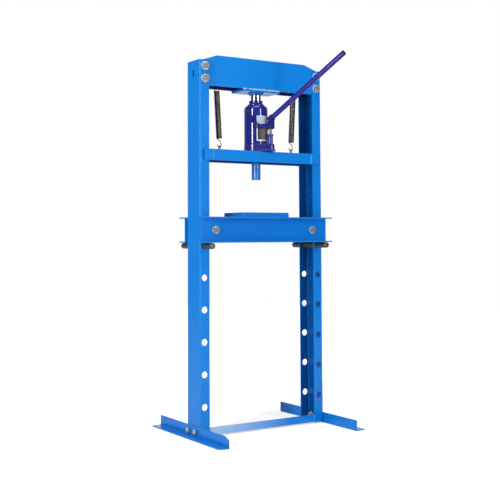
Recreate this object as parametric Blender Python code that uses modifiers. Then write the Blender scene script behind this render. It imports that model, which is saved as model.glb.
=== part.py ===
"""Hydraulic shop press.

Two channel posts stand on angle feet and carry a head of two plates. A bottle jack stands on a
ram beam that hangs from the head on two springs. Its piston pushes up against the head, so that
the beam and its ram go down to the work, which lies on a bed held by two pins through the posts.

X runs from left to right between the posts, Y from the front to the back, Z up from the floor.
The frame is modelled about its own middle, and the whole press is then set back so that the
middle of its outline, the handle included, stands over the origin.
The jack is modelled with its pump towards its own +X, and then turned on the beam.
All sizes are in metres.
"""

import math

import bmesh
import bpy
import numpy as np
from mathutils import Matrix, Vector

# Fits and cuts
GAP = 0.0003
BOLT_ROOM = 0.001
OVERRUN = 0.002

# Posts
FRAME_WIDTH = 0.500
POST_DEPTH = 0.087
POST_FLANGE = 0.037
POST_WALL = 0.004
POST_BEND = 0.0055
POST_LENGTH = 1.246
POST_LIFT = 0.004
PIN_HOLE = 0.022
PIN_HOLE_INSET = 0.0185
FIRST_HOLE_HEIGHT = 0.0987
TOP_HOLE_DROP = 0.6226
HOLE_COUNT = 6
WEB_SLOT_WIDTH = 0.011
WEB_SLOT_HEIGHT = 0.026
WEB_SLOT_DROP = 0.044

# Head
HEAD_HEIGHT = 0.104
HEAD_RISE = 0.019
HEAD_WALL = 0.006
HEAD_END_ROOM = 0.001
HEAD_CORNER_LENGTH = 0.065
HEAD_CORNER_DROP = 0.022
HEAD_BOLT_INSET = 0.021
HEAD_BOLT_HEIGHT = 0.022
HEAD_BOLT_SPACING = 0.042

# Seat under the head, its cup and the jack's piston
SEAT_LENGTH = 0.150
SEAT_WALL = 0.008
CUP_HEIGHT = 0.0075
CUP_TOP = 0.057
CUP_BOTTOM = 0.043
CUP_RECESS = 0.004
PISTON = 0.036
PISTON_CHAMFER = 0.001
PISTON_FOOT = 0.008

# Bolts: shank, washer and wrench sizes
HEAD_BOLT = 0.014
HEAD_BOLT_WASHER = 0.028
HEAD_BOLT_WRENCH = 0.022
BED_BOLT = 0.012
BED_BOLT_WASHER = 0.025
BED_BOLT_WRENCH = 0.019
FOOT_BOLT = 0.010
FOOT_BOLT_WASHER = 0.020
FOOT_BOLT_WRENCH = 0.016
WASHER_WALL = 0.002
HEAD_HEIGHT_SHARE = 0.62
NUT_HEIGHT_SHARE = 0.8
TAIL_SHARE = 0.25

# Feet and tie bar
FOOT_LENGTH = 0.456
FOOT_HEIGHT = 0.036
FOOT_REACH = 0.037
FOOT_WALL = 0.004
FOOT_FILLET = 0.004
FOOT_CORNER_LENGTH = 0.025
FOOT_CORNER_DROP = 0.009
FOOT_TOE_LENGTH = 0.012
FOOT_TOE_REACH = 0.014
FOOT_BOLT_HEIGHT = 0.019
FOOT_BOLT_SPREAD = 0.048
TIE_HEIGHT = 0.026
TIE_LIFT = 0.0012
TIE_REACH = 0.028
TIE_WALL = 0.0035
TIE_FILLET = 0.003

# Bed, its spacers and support pins
BED_OVERHANG = 0.007
BED_REAR_SHIFT = 0.005
BED_HEIGHT = 0.086
BED_FLANGE = 0.0418
BED_WALL = 0.0043
BED_BEND = 0.006
BED_ROOM = 0.0102
BED_BOLT_INSET = 0.053
SPACER = 0.026
SUPPORT_PIN = 0.020
SUPPORT_PIN_LENGTH = 0.204
SUPPORT_PIN_BACK = 0.003
SUPPORT_PIN_ROUND = 0.004

# Arbor plates
PLATE_THICKNESS = 0.016
PLATE_DEPTH = 0.124
PLATE_LEFT_LENGTH = 0.1062
PLATE_RIGHT_LENGTH = 0.0818
PLATE_SEAM = 0.013
PLATE_BEVEL = 0.0012

# Ram beam and ram
BEAM_DROP = 0.299
BEAM_HEIGHT = 0.038
BEAM_WALL = 0.0045
BEAM_BEND = 0.006
BEAM_ROOM = 0.003
BEAM_END_INSET = 0.014
BEAM_END_ROOM = 0.008
RAM = 0.0316
RAM_DROP = 0.060
RAM_CHAMFER = 0.0015

# Return springs, their eyes and rods
SPRING_DIAMETER = 0.0205
SPRING_WIRE = 0.0036
SPRING_TURNS = 36
SPRING_BODY = 0.164
SPRING_LOWER_SPREAD = 0.296
SPRING_UPPER_SPREAD = 0.320
CURL_POINTS = 8
HOOK_RADIUS = 0.007
HOOK_ARC_POINTS = 9
HOOK_FREE_ANGLE = math.radians(160)
HOOK_CLOSE_ANGLE = math.radians(395)
HOOK_CROSS_SHARES = ((0.30, 0.45), (-0.45, 0.80))
EYE_RADIUS = 0.0052
EYE_WIRE = 0.0036
EYE_NUT = 0.011
EYE_NUT_HEIGHT = 0.0035
EYE_THREAD = 0.006
EYE_TAIL = 0.003
ROD = 0.008
ROD_RISE = 0.013

# Jack: base, tank, cylinder and top nut
JACK_TURN = math.radians(-64)
BASE_RADIUS = 0.0465
BASE_HEIGHT = 0.026
BASE_NOSE_RADIUS = 0.0148
BASE_BEVEL = 0.003
BASE_FLANGE = 0.004
BASE_FLANGE_HEIGHT = 0.006
TANK = 0.0835
TANK_WALL = 0.003
TANK_HEIGHT = 0.119
SHOULDER_HEIGHT = 0.016
SHOULDER_STEPS = 3
NECK = 0.061
NECK_BORE = 0.052
CYLINDER_WALL = 0.006
NUT_HEIGHT = 0.0175
NUT_FLARE_HEIGHT = 0.007
NUT_TOP = 0.049
NUT_SKIRT = 0.008
PLUG_HEIGHT = 0.093
PLUG_HOLE = 0.0084
PLUG_HEAD = 0.013
PLUG_HEAD_HEIGHT = 0.002
VALVE_ANGLE = math.radians(75)
VALVE_HEIGHT = 0.012
VALVE_KNOB = 0.014
VALVE_KNOB_LENGTH = 0.009
VALVE_SHANK = 0.008
VALVE_SHANK_LENGTH = 0.010
VALVE_SLOT = 0.002
VALVE_SLOT_DEPTH = 0.003

# Pump: cylinder, plunger and the fork lever that works it
PUMP_REACH = 0.058
PUMP_CYLINDER = 0.022
PUMP_CYLINDER_HEIGHT = 0.034
PUMP_CYLINDER_SEAT = 0.012
PUMP_CYLINDER_COLLAR = 0.006
PUMP_COLLAR_GROOVE = 0.0015
PUMP_FLOOR = 0.004
PLUNGER = 0.011
PLUNGER_PLAY = 0.0003
PLUNGER_FOOT = 0.016
PLUNGER_EYE_RADIUS = 0.0075
PLUNGER_EYE_WIDTH = 0.012
PLUNGER_PIN = 0.006
PLUNGER_PIN_OVERHANG = 0.001
FULCRUM_REACH = 0.031
FULCRUM_HEIGHT = 0.060
FORK_THICKNESS = 0.011
EAR_WALL = 0.0045
EAR_OUTSIDE = 0.0435
EAR_BACK = 0.007
EAR_FRONT = 0.009
EAR_INNER_FRONT = 0.006
FORK_THROAT = 0.016
FORK_THROAT_HALF = 0.012
FORK_CHEEK_FRONT = 0.037
FORK_CHEEK_HALF = 0.013
FORK_NOSE = 0.0415
FORK_NOSE_HALF = 0.006
CHEEK_RADIUS = 0.008
POCKET_PLAY = 0.0006
POCKET_BACK = 0.008
POCKET_FRONT = 0.0114
POCKET_TOP = 0.0086
PIN_SLOT_PLAY = 0.0005
PIN_SLOT_RUN = 0.0027
SOCKET_START = 0.023
SOCKET_RISE = 0.02245
SOCKET_LENGTH = 0.019
SOCKET_WALL = 0.0023
SOCKET_FLOOR = 0.002
WEB_WIDTH = 0.016
WEB_SINK = 0.002
WEB_BACK = 0.017
WEB_FRONT = 0.0395
WEB_TIP_REACH = 0.0405
WEB_TIP_RISE = 0.0215
WEB_ROOT_REACH = 0.0245
WEB_ROOT_RISE = 0.0235

# Straps that carry the fulcrum, with their lugs and pins
STRAP_WIDTH = 0.013
STRAP_WALL = 0.004
LUG_BACK = 0.008
LUG_HEIGHT = 0.113
LUG = 0.015
LUG_ROOT = 0.0385
LUG_BOLT = 0.007
LUG_BOLT_WRENCH = 0.012
LUG_BOLT_HEAD = 0.005
LUG_BOLT_DEPTH = 0.0035
FULCRUM_PIN = 0.008
FULCRUM_PIN_HEAD = 0.012
FULCRUM_PIN_HEAD_WALL = 0.002
FULCRUM_PIN_TAIL = 0.0018

# Handle
HANDLE = 0.018
HANDLE_WALL = 0.002
HANDLE_LENGTH = 0.356
HANDLE_ANGLE = math.radians(35.5)

# Facets
ARC_STEPS = 3
HOLE_SIDES = 12
BOLT_SIDES = 6
SMALL_SIDES = 12
ROUND_SIDES = 24
TANK_SIDES = 32
SMOOTH_ANGLE = math.radians(35)

# Heights and depths worked out from the sizes above
POST_TOP = POST_LIFT + POST_LENGTH
HEAD_TOP = POST_TOP + HEAD_RISE
HEAD_BOTTOM = HEAD_TOP - HEAD_HEIGHT
HEAD_OUTSIDE = POST_DEPTH / 2 - POST_WALL - GAP
HEAD_INSIDE = HEAD_OUTSIDE - HEAD_WALL
SEAT_BOTTOM = HEAD_BOTTOM - GAP - SEAT_WALL
CUP_BASE = SEAT_BOTTOM - GAP - CUP_HEIGHT
TOP_HOLE_HEIGHT = POST_TOP - TOP_HOLE_DROP
HOLE_PITCH = (TOP_HOLE_HEIGHT - FIRST_HOLE_HEIGHT) / (HOLE_COUNT - 1)
SUPPORT_PIN_HEIGHT = TOP_HOLE_HEIGHT - (PIN_HOLE - SUPPORT_PIN) / 2 + GAP
PIN_SPREAD = FRAME_WIDTH - 2 * PIN_HOLE_INSET
BED_LENGTH = FRAME_WIDTH + 2 * BED_OVERHANG
BED_BOLT_ACROSS = FRAME_WIDTH / 2 - BED_BOLT_INSET
BED_BOTTOM = SUPPORT_PIN_HEIGHT + SUPPORT_PIN / 2 + GAP
BED_TOP = BED_BOTTOM + BED_HEIGHT
BED_INSIDE = POST_DEPTH / 2 + BED_ROOM
BEAM_TOP = POST_TOP - BEAM_DROP
BEAM_LENGTH = FRAME_WIDTH - 2 * BEAM_END_INSET
BEAM_OUTSIDE = POST_DEPTH / 2 + BEAM_ROOM + BEAM_WALL
BEAM_PLATE_LENGTH = FRAME_WIDTH - 2 * (POST_FLANGE + BEAM_END_ROOM)
BASE_BOTTOM = BEAM_TOP + GAP
BASE_TOP = BASE_BOTTOM + BASE_HEIGHT
TANK_BOTTOM = BASE_TOP + GAP
SHOULDER = TANK_BOTTOM + TANK_HEIGHT
NECK_TOP = SHOULDER + SHOULDER_HEIGHT
NUT_BOTTOM = NECK_TOP + GAP
FULCRUM = BASE_TOP + FULCRUM_HEIGHT
STRAP_INSIDE = EAR_OUTSIDE + GAP
STRAP_OUTSIDE = STRAP_INSIDE + STRAP_WALL

X_AXIS = Vector((1, 0, 0))
Y_AXIS = Vector((0, 1, 0))
Z_AXIS = Vector((0, 0, 1))

for old in list(bpy.data.objects):
    bpy.data.objects.remove(old, do_unlink=True)

PARTS = bpy.data.collections.new("shop_press")
CUTTERS = bpy.data.collections.new("cutters")
for collection in (PARTS, CUTTERS):
    bpy.context.scene.collection.children.link(collection)


def material(name, colour, roughness, metallic):
    """A Principled material of one colour."""
    made = bpy.data.materials.new(name)
    made.use_nodes = True
    shader = made.node_tree.nodes["Principled BSDF"]
    shader.inputs["Base Color"].default_value = (*colour, 1)
    shader.inputs["Roughness"].default_value = roughness
    shader.inputs["Metallic"].default_value = metallic
    return made


FRAME_PAINT = material("frame_paint", (0.006, 0.190, 0.700), 0.35, 0.0)
JACK_PAINT = material("jack_paint", (0.018, 0.020, 0.260), 0.30, 0.0)
HANDLE_PAINT = material("handle_paint", (0.030, 0.030, 0.300), 0.32, 0.0)
ZINC = material("zinc_plate", (0.60, 0.61, 0.62), 0.35, 1.0)
CHROME = material("chrome_plate", (0.80, 0.80, 0.80), 0.12, 1.0)
SPRING_STEEL = material("spring_steel", (0.055, 0.050, 0.045), 0.45, 0.9)
PIN_STEEL = material("pin_steel", (0.060, 0.045, 0.035), 0.50, 0.8)
RUBBER = material("rubber", (0.02, 0.02, 0.02), 0.70, 0.0)


def stand(name, mesh, look=None, place=None):
    """An object of this mesh: a part when it has a look, and a hidden cutter otherwise."""
    obj = bpy.data.objects.new(name, mesh)
    if look:
        PARTS.objects.link(obj)
        if not mesh.materials:
            mesh.materials.append(look)
    else:
        CUTTERS.objects.link(obj)
        obj.hide_render = True
        obj.display_type = "WIRE"
    obj.matrix_world = place or Matrix()
    return obj


def evaluated_mesh(obj):
    """The mesh that the object has after its modifiers."""
    bpy.context.view_layer.update()
    graph = bpy.context.evaluated_depsgraph_get()
    return bpy.data.meshes.new_from_object(obj.evaluated_get(graph))


def closed(mesh):
    """Welds the mesh's doubled points and turns its faces outward, smooth up to the sharp edges."""
    shape = bmesh.new()
    shape.from_mesh(mesh)
    bmesh.ops.remove_doubles(shape, verts=shape.verts, dist=GAP / 100)
    bmesh.ops.recalc_face_normals(shape, faces=shape.faces)
    shape.to_mesh(mesh)
    shape.free()
    mesh.shade_smooth()
    mesh.set_sharp_from_angle(angle=SMOOTH_ANGLE)
    return mesh


def taken(obj):
    """The object's final mesh, with the object itself removed."""
    mesh = closed(evaluated_mesh(obj))
    bpy.data.objects.remove(obj, do_unlink=True)
    return mesh


def frame(x_axis, y_axis, at):
    """The placing whose X and Y run along these directions, with its origin at this point."""
    turn = Matrix((x_axis, y_axis, x_axis.cross(y_axis))).transposed()
    return Matrix.Translation(at) @ turn.to_4x4()


def box(name, low, high, look=None):
    """A box between two corners."""
    low = Vector(low)
    high = Vector(high)
    shape = bmesh.new()
    place = Matrix.Translation((low + high) / 2) @ Matrix.Diagonal((*(high - low), 1))
    bmesh.ops.create_cube(shape, size=1, matrix=place)
    mesh = bpy.data.meshes.new(name)
    shape.to_mesh(mesh)
    shape.free()
    return stand(name, mesh, look)


def bar(name, diameter, start, end, look=None, sides=SMALL_SIDES):
    """A round bar between two points, or a hexagon with six sides."""
    start = Vector(start)
    run = Vector(end) - start
    turn = run.to_track_quat("Z", "Y").to_matrix().to_4x4()
    shape = bmesh.new()
    bmesh.ops.create_cone(
        shape,
        cap_ends=True,
        segments=sides,
        radius1=diameter / 2,
        radius2=diameter / 2,
        depth=run.length,
        matrix=Matrix.Translation(start + run / 2) @ turn,
    )
    mesh = bpy.data.meshes.new(name)
    shape.to_mesh(mesh)
    shape.free()
    return stand(name, closed(mesh), look)


def rounded(corners):
    """The outline through (x, y, radius) corners, with each radius turned in a few steps."""
    points = []
    for index, (x, y, radius) in enumerate(corners):
        here = Vector((x, y))
        if not radius:
            points.append(here)
            continue
        before = Vector(corners[index - 1][:2]) - here
        after = Vector(corners[(index + 1) % len(corners)][:2]) - here
        before.normalize()
        after.normalize()
        half = before.angle(after) / 2
        middle = here + (before + after).normalized() * (radius / math.sin(half))
        first = here + before * (radius / math.tan(half)) - middle
        sweep = first.angle_signed(here + after * (radius / math.tan(half)) - middle)
        for step in range(ARC_STEPS + 1):
            turn = Matrix.Rotation(-sweep * step / ARC_STEPS, 2)
            points.append(middle + turn @ first)
    return points


def link_outline(start, end, width):
    """The outline of a flat link: straight sides and a half circle round each centre."""
    start = Vector(start)
    end = Vector(end)
    run = (end - start).normalized()
    out = Vector((-run.y, run.x)) * (width / 2)
    points = []
    for centre, first in ((start, out), (end, -out)):
        for step in range(HOLE_SIDES // 2 + 1):
            points.append(centre + Matrix.Rotation(math.pi * step / (HOLE_SIDES // 2), 2) @ first)
    return points


def prism(name, outline, thickness, look=None, place=None):
    """The flat outline with this thickness, half of it to each side of its plane."""
    curve = bpy.data.curves.new(name, "CURVE")
    curve.dimensions = "2D"
    curve.fill_mode = "BOTH"
    curve.extrude = thickness / 2
    spline = curve.splines.new("POLY")
    spline.points.add(len(outline) - 1)
    for point, (x, y) in zip(spline.points, outline):
        point.co = (x, y, 0, 1)
    spline.use_cyclic_u = True
    guide = stand(name + "_outline", curve)
    mesh = taken(guide)
    bpy.data.curves.remove(curve)
    return stand(name, mesh, look, place)


def tube(name, points, diameter, resolution, cyclic=False, look=None, place=None):
    """A round wire along these points."""
    curve = bpy.data.curves.new(name, "CURVE")
    curve.dimensions = "3D"
    curve.bevel_depth = diameter / 2
    curve.bevel_resolution = resolution
    curve.use_fill_caps = not cyclic
    spline = curve.splines.new("POLY")
    spline.points.add(len(points) - 1)
    for point, co in zip(spline.points, points):
        point.co = (*co, 1)
    spline.use_cyclic_u = cyclic
    guide = stand(name + "_line", curve)
    mesh = taken(guide)
    bpy.data.curves.remove(curve)
    return stand(name, mesh, look, place)


def turned(name, profile, look=None, place=None, sides=ROUND_SIDES):
    """The (radius, height) profile turned about Z. It runs down the outside, top to bottom."""
    mesh = bpy.data.meshes.new(name)
    edges = [(i, i + 1) for i in range(len(profile) - 1)]
    if profile[0][0] and profile[-1][0]:
        edges.append((len(profile) - 1, 0))
    mesh.from_pydata([(radius, 0, height) for radius, height in profile], edges, [])
    guide = stand(name + "_profile", mesh)
    screw = guide.modifiers.new("turn", "SCREW")
    screw.steps = sides
    screw.render_steps = sides
    screw.use_merge_vertices = True
    screw.merge_threshold = GAP / 100
    return stand(name, taken(guide), look, place)


def combine(obj, other, operation):
    """Adds a Boolean of the other object."""
    step = obj.modifiers.new(other.name, "BOOLEAN")
    step.operation = operation
    step.solver = "EXACT"
    step.object = other
    return obj


def cut(obj, *cutters):
    """Takes these cutters out of the object."""
    for cutter in cutters:
        combine(obj, cutter, "DIFFERENCE")
    return obj


def join(obj, *others):
    """Joins these shapes to the object."""
    for other in others:
        combine(obj, other, "UNION")
    return obj


def carried(carrier, obj):
    """Places the object, and what cuts it, in the carrier's frame."""
    obj.parent = carrier
    for step in obj.modifiers:
        if step.type == "BOOLEAN":
            carried(carrier, step.object)
    return obj


def marker(name, place, carrier=None):
    """An empty that stands for an axis."""
    empty = bpy.data.objects.new(name, None)
    PARTS.objects.link(empty)
    empty.parent = carrier
    empty.matrix_local = place
    return empty


def bevel(obj, width):
    """Breaks the object's sharp edges."""
    step = obj.modifiers.new("bevel", "BEVEL")
    step.width = width
    step.segments = 1
    step.limit_method = "ANGLE"
    step.angle_limit = SMOOTH_ANGLE
    return obj


def bolt_mesh(name, shank, washer, wrench, grip):
    """A bolt with a washer and a nut. The head seats at Z = 0 and the nut at Z = -grip."""
    head_top = GAP + WASHER_WALL + shank * HEAD_HEIGHT_SHARE
    nut_top = -grip - GAP
    nut_end = nut_top - shank * NUT_HEIGHT_SHARE
    across = wrench / math.cos(math.pi / 6)
    bite = WASHER_WALL / 2
    body = bar(name, shank, (0, 0, GAP + bite), (0, 0, nut_end - shank * TAIL_SHARE), sides=BOLT_SIDES)
    disc = bar(name + "_washer", washer, (0, 0, GAP), (0, 0, GAP + WASHER_WALL), sides=HOLE_SIDES)
    head = bar(name + "_head", across, (0, 0, GAP + bite), (0, 0, head_top), sides=6)
    nut = bar(name + "_nut", across, (0, 0, nut_top), (0, 0, nut_end), sides=6)
    join(body, disc, head, nut)
    mesh = taken(body)
    for shape in (disc, head, nut):
        bpy.data.objects.remove(shape, do_unlink=True)
    return mesh


# Posts


def post(name, side):
    """A channel post with its row of pin holes. Its local +X runs inward from its outer face."""
    half = POST_DEPTH / 2
    inner = POST_BEND - POST_WALL
    outline = rounded(
        [
            (POST_FLANGE, -half, 0),
            (POST_FLANGE, -half + POST_WALL, 0),
            (POST_WALL, -half + POST_WALL, inner),
            (POST_WALL, half - POST_WALL, inner),
            (POST_FLANGE, half - POST_WALL, 0),
            (POST_FLANGE, half, 0),
            (0, half, POST_BEND),
            (0, -half, POST_BEND),
        ]
    )
    obj = prism(name, outline, POST_LENGTH, FRAME_PAINT)
    middle = POST_LIFT + POST_LENGTH / 2
    reach = half + OVERRUN
    for number in range(2):
        across = FOOT_BOLT_SPREAD * (number - 1 / 2)
        start = (-OVERRUN, across, FOOT_BOLT_HEIGHT - middle)
        end = (POST_WALL + OVERRUN, across, FOOT_BOLT_HEIGHT - middle)
        width = FOOT_BOLT + BOLT_ROOM
        cut(obj, bar(f"{name}_foot_{number + 1}", width, start, end, sides=HOLE_SIDES))
    slot_middle = POST_TOP - WEB_SLOT_DROP - middle
    slot_half = (WEB_SLOT_HEIGHT - WEB_SLOT_WIDTH) / 2
    slot = link_outline((0, slot_middle - slot_half), (0, slot_middle + slot_half), WEB_SLOT_WIDTH)
    through = 2 * (POST_WALL + OVERRUN)
    cut(obj, prism(name + "_slot", slot, through, None, frame(Y_AXIS, Z_AXIS, (0, 0, 0))))
    for number in range(HOLE_COUNT):
        height = FIRST_HOLE_HEIGHT + HOLE_PITCH * number - middle
        start = (PIN_HOLE_INSET, -reach, height)
        end = (PIN_HOLE_INSET, reach, height)
        cut(obj, bar(f"{name}_hole_{number + 1}", PIN_HOLE, start, end, sides=HOLE_SIDES))
    for number in range(2):
        height = HEAD_BOTTOM + HEAD_BOLT_HEIGHT + HEAD_BOLT_SPACING * number - middle
        start = (HEAD_BOLT_INSET, -reach, height)
        end = (HEAD_BOLT_INSET, reach, height)
        width = HEAD_BOLT + BOLT_ROOM
        cut(obj, bar(f"{name}_bolt_{number + 1}", width, start, end, sides=HOLE_SIDES))
    pivot = marker(name + "_place", Matrix.Translation((side * FRAME_WIDTH / 2, 0, middle))
                   @ Matrix.Rotation(math.pi if side > 0 else 0, 4, "Z"))
    return carried(pivot, obj)


# Head


def head_plate(name, side):
    """One plate of the head, inside the posts' front or back flanges."""
    end = FRAME_WIDTH / 2 - POST_WALL - HEAD_END_ROOM
    outline = [
        (-end, HEAD_BOTTOM),
        (end, HEAD_BOTTOM),
        (end, HEAD_TOP - HEAD_CORNER_DROP),
        (end - HEAD_CORNER_LENGTH, HEAD_TOP),
        (HEAD_CORNER_LENGTH - end, HEAD_TOP),
        (-end, HEAD_TOP - HEAD_CORNER_DROP),
    ]
    depth = side * (HEAD_OUTSIDE - HEAD_WALL / 2)
    place = frame(X_AXIS, Z_AXIS, (0, depth, 0))
    obj = prism(name, outline, HEAD_WALL, FRAME_PAINT, place)
    for number, (x, z) in enumerate(head_bolt_places()):
        start = (x, depth - HEAD_WALL, z)
        end_point = (x, depth + HEAD_WALL, z)
        width = HEAD_BOLT + BOLT_ROOM
        cut(obj, bar(f"{name}_bolt_{number + 1}", width, start, end_point, sides=HOLE_SIDES))
    return obj


def head_bolt_places():
    """The four bolt centres of one head plate, as (x, z)."""
    across = FRAME_WIDTH / 2 - HEAD_BOLT_INSET
    low = HEAD_BOTTOM + HEAD_BOLT_HEIGHT
    return [(side * across, z) for side in (-1, 1) for z in (low, low + HEAD_BOLT_SPACING)]


def head_bolts():
    """Eight short bolts, each through a post's flange and a head plate."""
    grip = POST_WALL + GAP + HEAD_WALL
    mesh = bolt_mesh("head_bolt", HEAD_BOLT, HEAD_BOLT_WASHER, HEAD_BOLT_WRENCH, grip)
    for face, side in (("front", -1), ("back", 1)):
        for x, z in head_bolt_places():
            across = "left" if x < 0 else "right"
            level = "lower" if z < HEAD_BOTTOM + HEAD_HEIGHT / 2 else "upper"
            place = frame(-side * X_AXIS, Z_AXIS, (x, side * POST_DEPTH / 2, z))
            stand(f"head_bolt_{face}_{across}_{level}", mesh, ZINC, place)


def seat():
    """The plate across the head's lower edge that takes the jack's push."""
    low = (-SEAT_LENGTH / 2, -HEAD_OUTSIDE, SEAT_BOTTOM)
    high = (SEAT_LENGTH / 2, HEAD_OUTSIDE, SEAT_BOTTOM + SEAT_WALL)
    return box("jack_seat_plate", low, high, FRAME_PAINT)


def seat_cup():
    """The ring under the seat plate that holds the piston's end."""
    bore = PISTON / 2 + GAP
    profile = [
        (0, CUP_HEIGHT),
        (CUP_TOP / 2, CUP_HEIGHT),
        (CUP_TOP / 2, CUP_HEIGHT - CUP_RECESS / 2),
        (CUP_BOTTOM / 2, 0),
        (bore, 0),
        (bore, CUP_RECESS),
        (0, CUP_RECESS),
    ]
    return turned("seat_cup", profile, FRAME_PAINT, Matrix.Translation((0, 0, CUP_BASE)))


# Feet and tie bar


def foot(name, side, trimmed):
    """An angle foot along the outside of a post. A trimmed one has its front corners cut off."""
    outline = rounded(
        [
            (0, 0, 0),
            (FOOT_REACH, 0, 0),
            (FOOT_REACH, FOOT_WALL, FOOT_WALL / 2),
            (FOOT_WALL, FOOT_WALL, FOOT_FILLET),
            (FOOT_WALL, FOOT_HEIGHT, FOOT_WALL / 2),
            (0, FOOT_HEIGHT, 0),
        ]
    )
    face = side * (FRAME_WIDTH / 2 + GAP)
    obj = prism(name, outline, FOOT_LENGTH, FRAME_PAINT, frame(side * X_AXIS, Z_AXIS, (face, 0, 0)))
    if trimmed:
        tip = -FOOT_LENGTH / 2
        corner = [
            (tip + FOOT_CORNER_LENGTH, FOOT_HEIGHT),
            (tip, FOOT_HEIGHT - FOOT_CORNER_DROP),
            (tip - OVERRUN, FOOT_HEIGHT - FOOT_CORNER_DROP),
            (tip - OVERRUN, FOOT_HEIGHT + OVERRUN),
            (tip + FOOT_CORNER_LENGTH, FOOT_HEIGHT + OVERRUN),
        ]
        cut(obj, prism(name + "_corner", corner, FOOT_REACH, None, frame(Y_AXIS, Z_AXIS, (face, 0, 0))))
        reach = face + side * FOOT_REACH
        toe = [
            (reach - side * FOOT_TOE_REACH, tip),
            (reach, tip + FOOT_TOE_LENGTH),
            (reach + side * OVERRUN, tip + FOOT_TOE_LENGTH),
            (reach + side * OVERRUN, tip - OVERRUN),
            (reach - side * FOOT_TOE_REACH, tip - OVERRUN),
        ]
        cut(obj, prism(name + "_toe", toe, 2 * (FOOT_WALL + OVERRUN)))
    for number in range(2):
        across = FOOT_BOLT_SPREAD * (number - 1 / 2)
        start = (face - side * OVERRUN, across, FOOT_BOLT_HEIGHT)
        end = (face + side * (FOOT_WALL + OVERRUN), across, FOOT_BOLT_HEIGHT)
        width = FOOT_BOLT + BOLT_ROOM
        cut(obj, bar(f"{name}_bolt_{number + 1}", width, start, end, sides=HOLE_SIDES))
    return obj


def foot_bolts():
    """Two bolts through each post's web and its foot, with the nuts outside."""
    grip = POST_WALL + GAP + FOOT_WALL
    mesh = bolt_mesh("foot_bolt", FOOT_BOLT, FOOT_BOLT_WASHER, FOOT_BOLT_WRENCH, grip)
    for across, side in (("left", -1), ("right", 1)):
        for face, end in (("front", -1), ("back", 1)):
            y = end * FOOT_BOLT_SPREAD / 2
            inside = side * (FRAME_WIDTH / 2 - POST_WALL)
            place = frame(side * Y_AXIS, -Z_AXIS, (inside, y, FOOT_BOLT_HEIGHT))
            stand(f"foot_bolt_{across}_{face}", mesh, ZINC, place)


def tie_bar():
    """The angle that ties the posts together at the floor, behind their front flanges."""
    outline = rounded(
        [
            (0, 0, 0),
            (TIE_REACH, 0, 0),
            (TIE_REACH, TIE_WALL, TIE_WALL / 2),
            (TIE_WALL, TIE_WALL, TIE_FILLET),
            (TIE_WALL, TIE_HEIGHT, TIE_WALL / 2),
            (0, TIE_HEIGHT, 0),
        ]
    )
    length = FRAME_WIDTH - 2 * (POST_BEND + GAP)
    place = frame(Y_AXIS, Z_AXIS, (0, -HEAD_OUTSIDE, POST_LIFT + TIE_LIFT))
    return prism("tie_bar", outline, length, FRAME_PAINT, place)


# Bed


def bed_channel(name, side):
    """One channel of the bed, its flanges away from the posts."""
    inner = BED_BEND - BED_WALL
    outline = rounded(
        [
            (0, 0, BED_BEND),
            (BED_FLANGE, 0, 0),
            (BED_FLANGE, BED_WALL, 0),
            (BED_WALL, BED_WALL, inner),
            (BED_WALL, BED_HEIGHT - BED_WALL, inner),
            (BED_FLANGE, BED_HEIGHT - BED_WALL, 0),
            (BED_FLANGE, BED_HEIGHT, 0),
            (0, BED_HEIGHT, BED_BEND),
        ]
    )
    shift = BED_REAR_SHIFT if side > 0 else 0
    place = frame(side * Y_AXIS, Z_AXIS, (shift, side * BED_INSIDE, BED_BOTTOM))
    obj = prism(name, outline, BED_LENGTH, FRAME_PAINT, place)
    for number, end in enumerate((-1, 1)):
        x = end * BED_BOLT_ACROSS
        height = BED_BOTTOM + BED_HEIGHT / 2
        start = (x, side * (BED_INSIDE - OVERRUN), height)
        stop = (x, side * (BED_INSIDE + BED_WALL + OVERRUN), height)
        width = BED_BOLT + BOLT_ROOM
        cut(obj, bar(f"{name}_bolt_{number + 1}", width, start, stop, sides=HOLE_SIDES))
    return obj


def bed_bolts_and_spacers():
    """The two long bolts across the bed, each in a spacer between the channels."""
    grip = 2 * (BED_INSIDE + BED_WALL)
    mesh = bolt_mesh("bed_bolt", BED_BOLT, BED_BOLT_WASHER, BED_BOLT_WRENCH, grip)
    half = BED_INSIDE - GAP
    bore = (BED_BOLT + BOLT_ROOM) / 2
    profile = [(bore, half), (SPACER / 2, half), (SPACER / 2, -half), (bore, -half)]
    for across, side in (("left", -1), ("right", 1)):
        x = side * BED_BOLT_ACROSS
        height = BED_BOTTOM + BED_HEIGHT / 2
        front = frame(X_AXIS, Z_AXIS, (x, -BED_INSIDE - BED_WALL, height))
        stand(f"bed_bolt_{across}", mesh, ZINC, front)
        middle = frame(X_AXIS, Z_AXIS, (x, 0, height))
        turned(f"bed_spacer_{across}", profile, ZINC, middle, sides=SMALL_SIDES)


def support_pin(name, side):
    """A pin through both flanges of a post, under the bed's channels."""
    radius = SUPPORT_PIN / 2
    half = SUPPORT_PIN_LENGTH / 2
    profile = [
        (0, half),
        (radius - SUPPORT_PIN_ROUND, half),
        (radius, half - SUPPORT_PIN_ROUND),
        (radius, SUPPORT_PIN_ROUND - half),
        (radius - SUPPORT_PIN_ROUND, -half),
        (0, -half),
    ]
    place = frame(X_AXIS, Z_AXIS, (side * PIN_SPREAD / 2, SUPPORT_PIN_BACK, SUPPORT_PIN_HEIGHT))
    return turned(name, profile, PIN_STEEL, place, sides=SMALL_SIDES)


def arbor_plate(name, start, length):
    """A loose steel plate across the bed."""
    low = (start, -PLATE_DEPTH / 2, BED_TOP + GAP)
    high = (start + length, PLATE_DEPTH / 2, BED_TOP + GAP + PLATE_THICKNESS)
    return bevel(box(name, low, high, FRAME_PAINT), PLATE_BEVEL)


# Ram beam and ram


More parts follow.
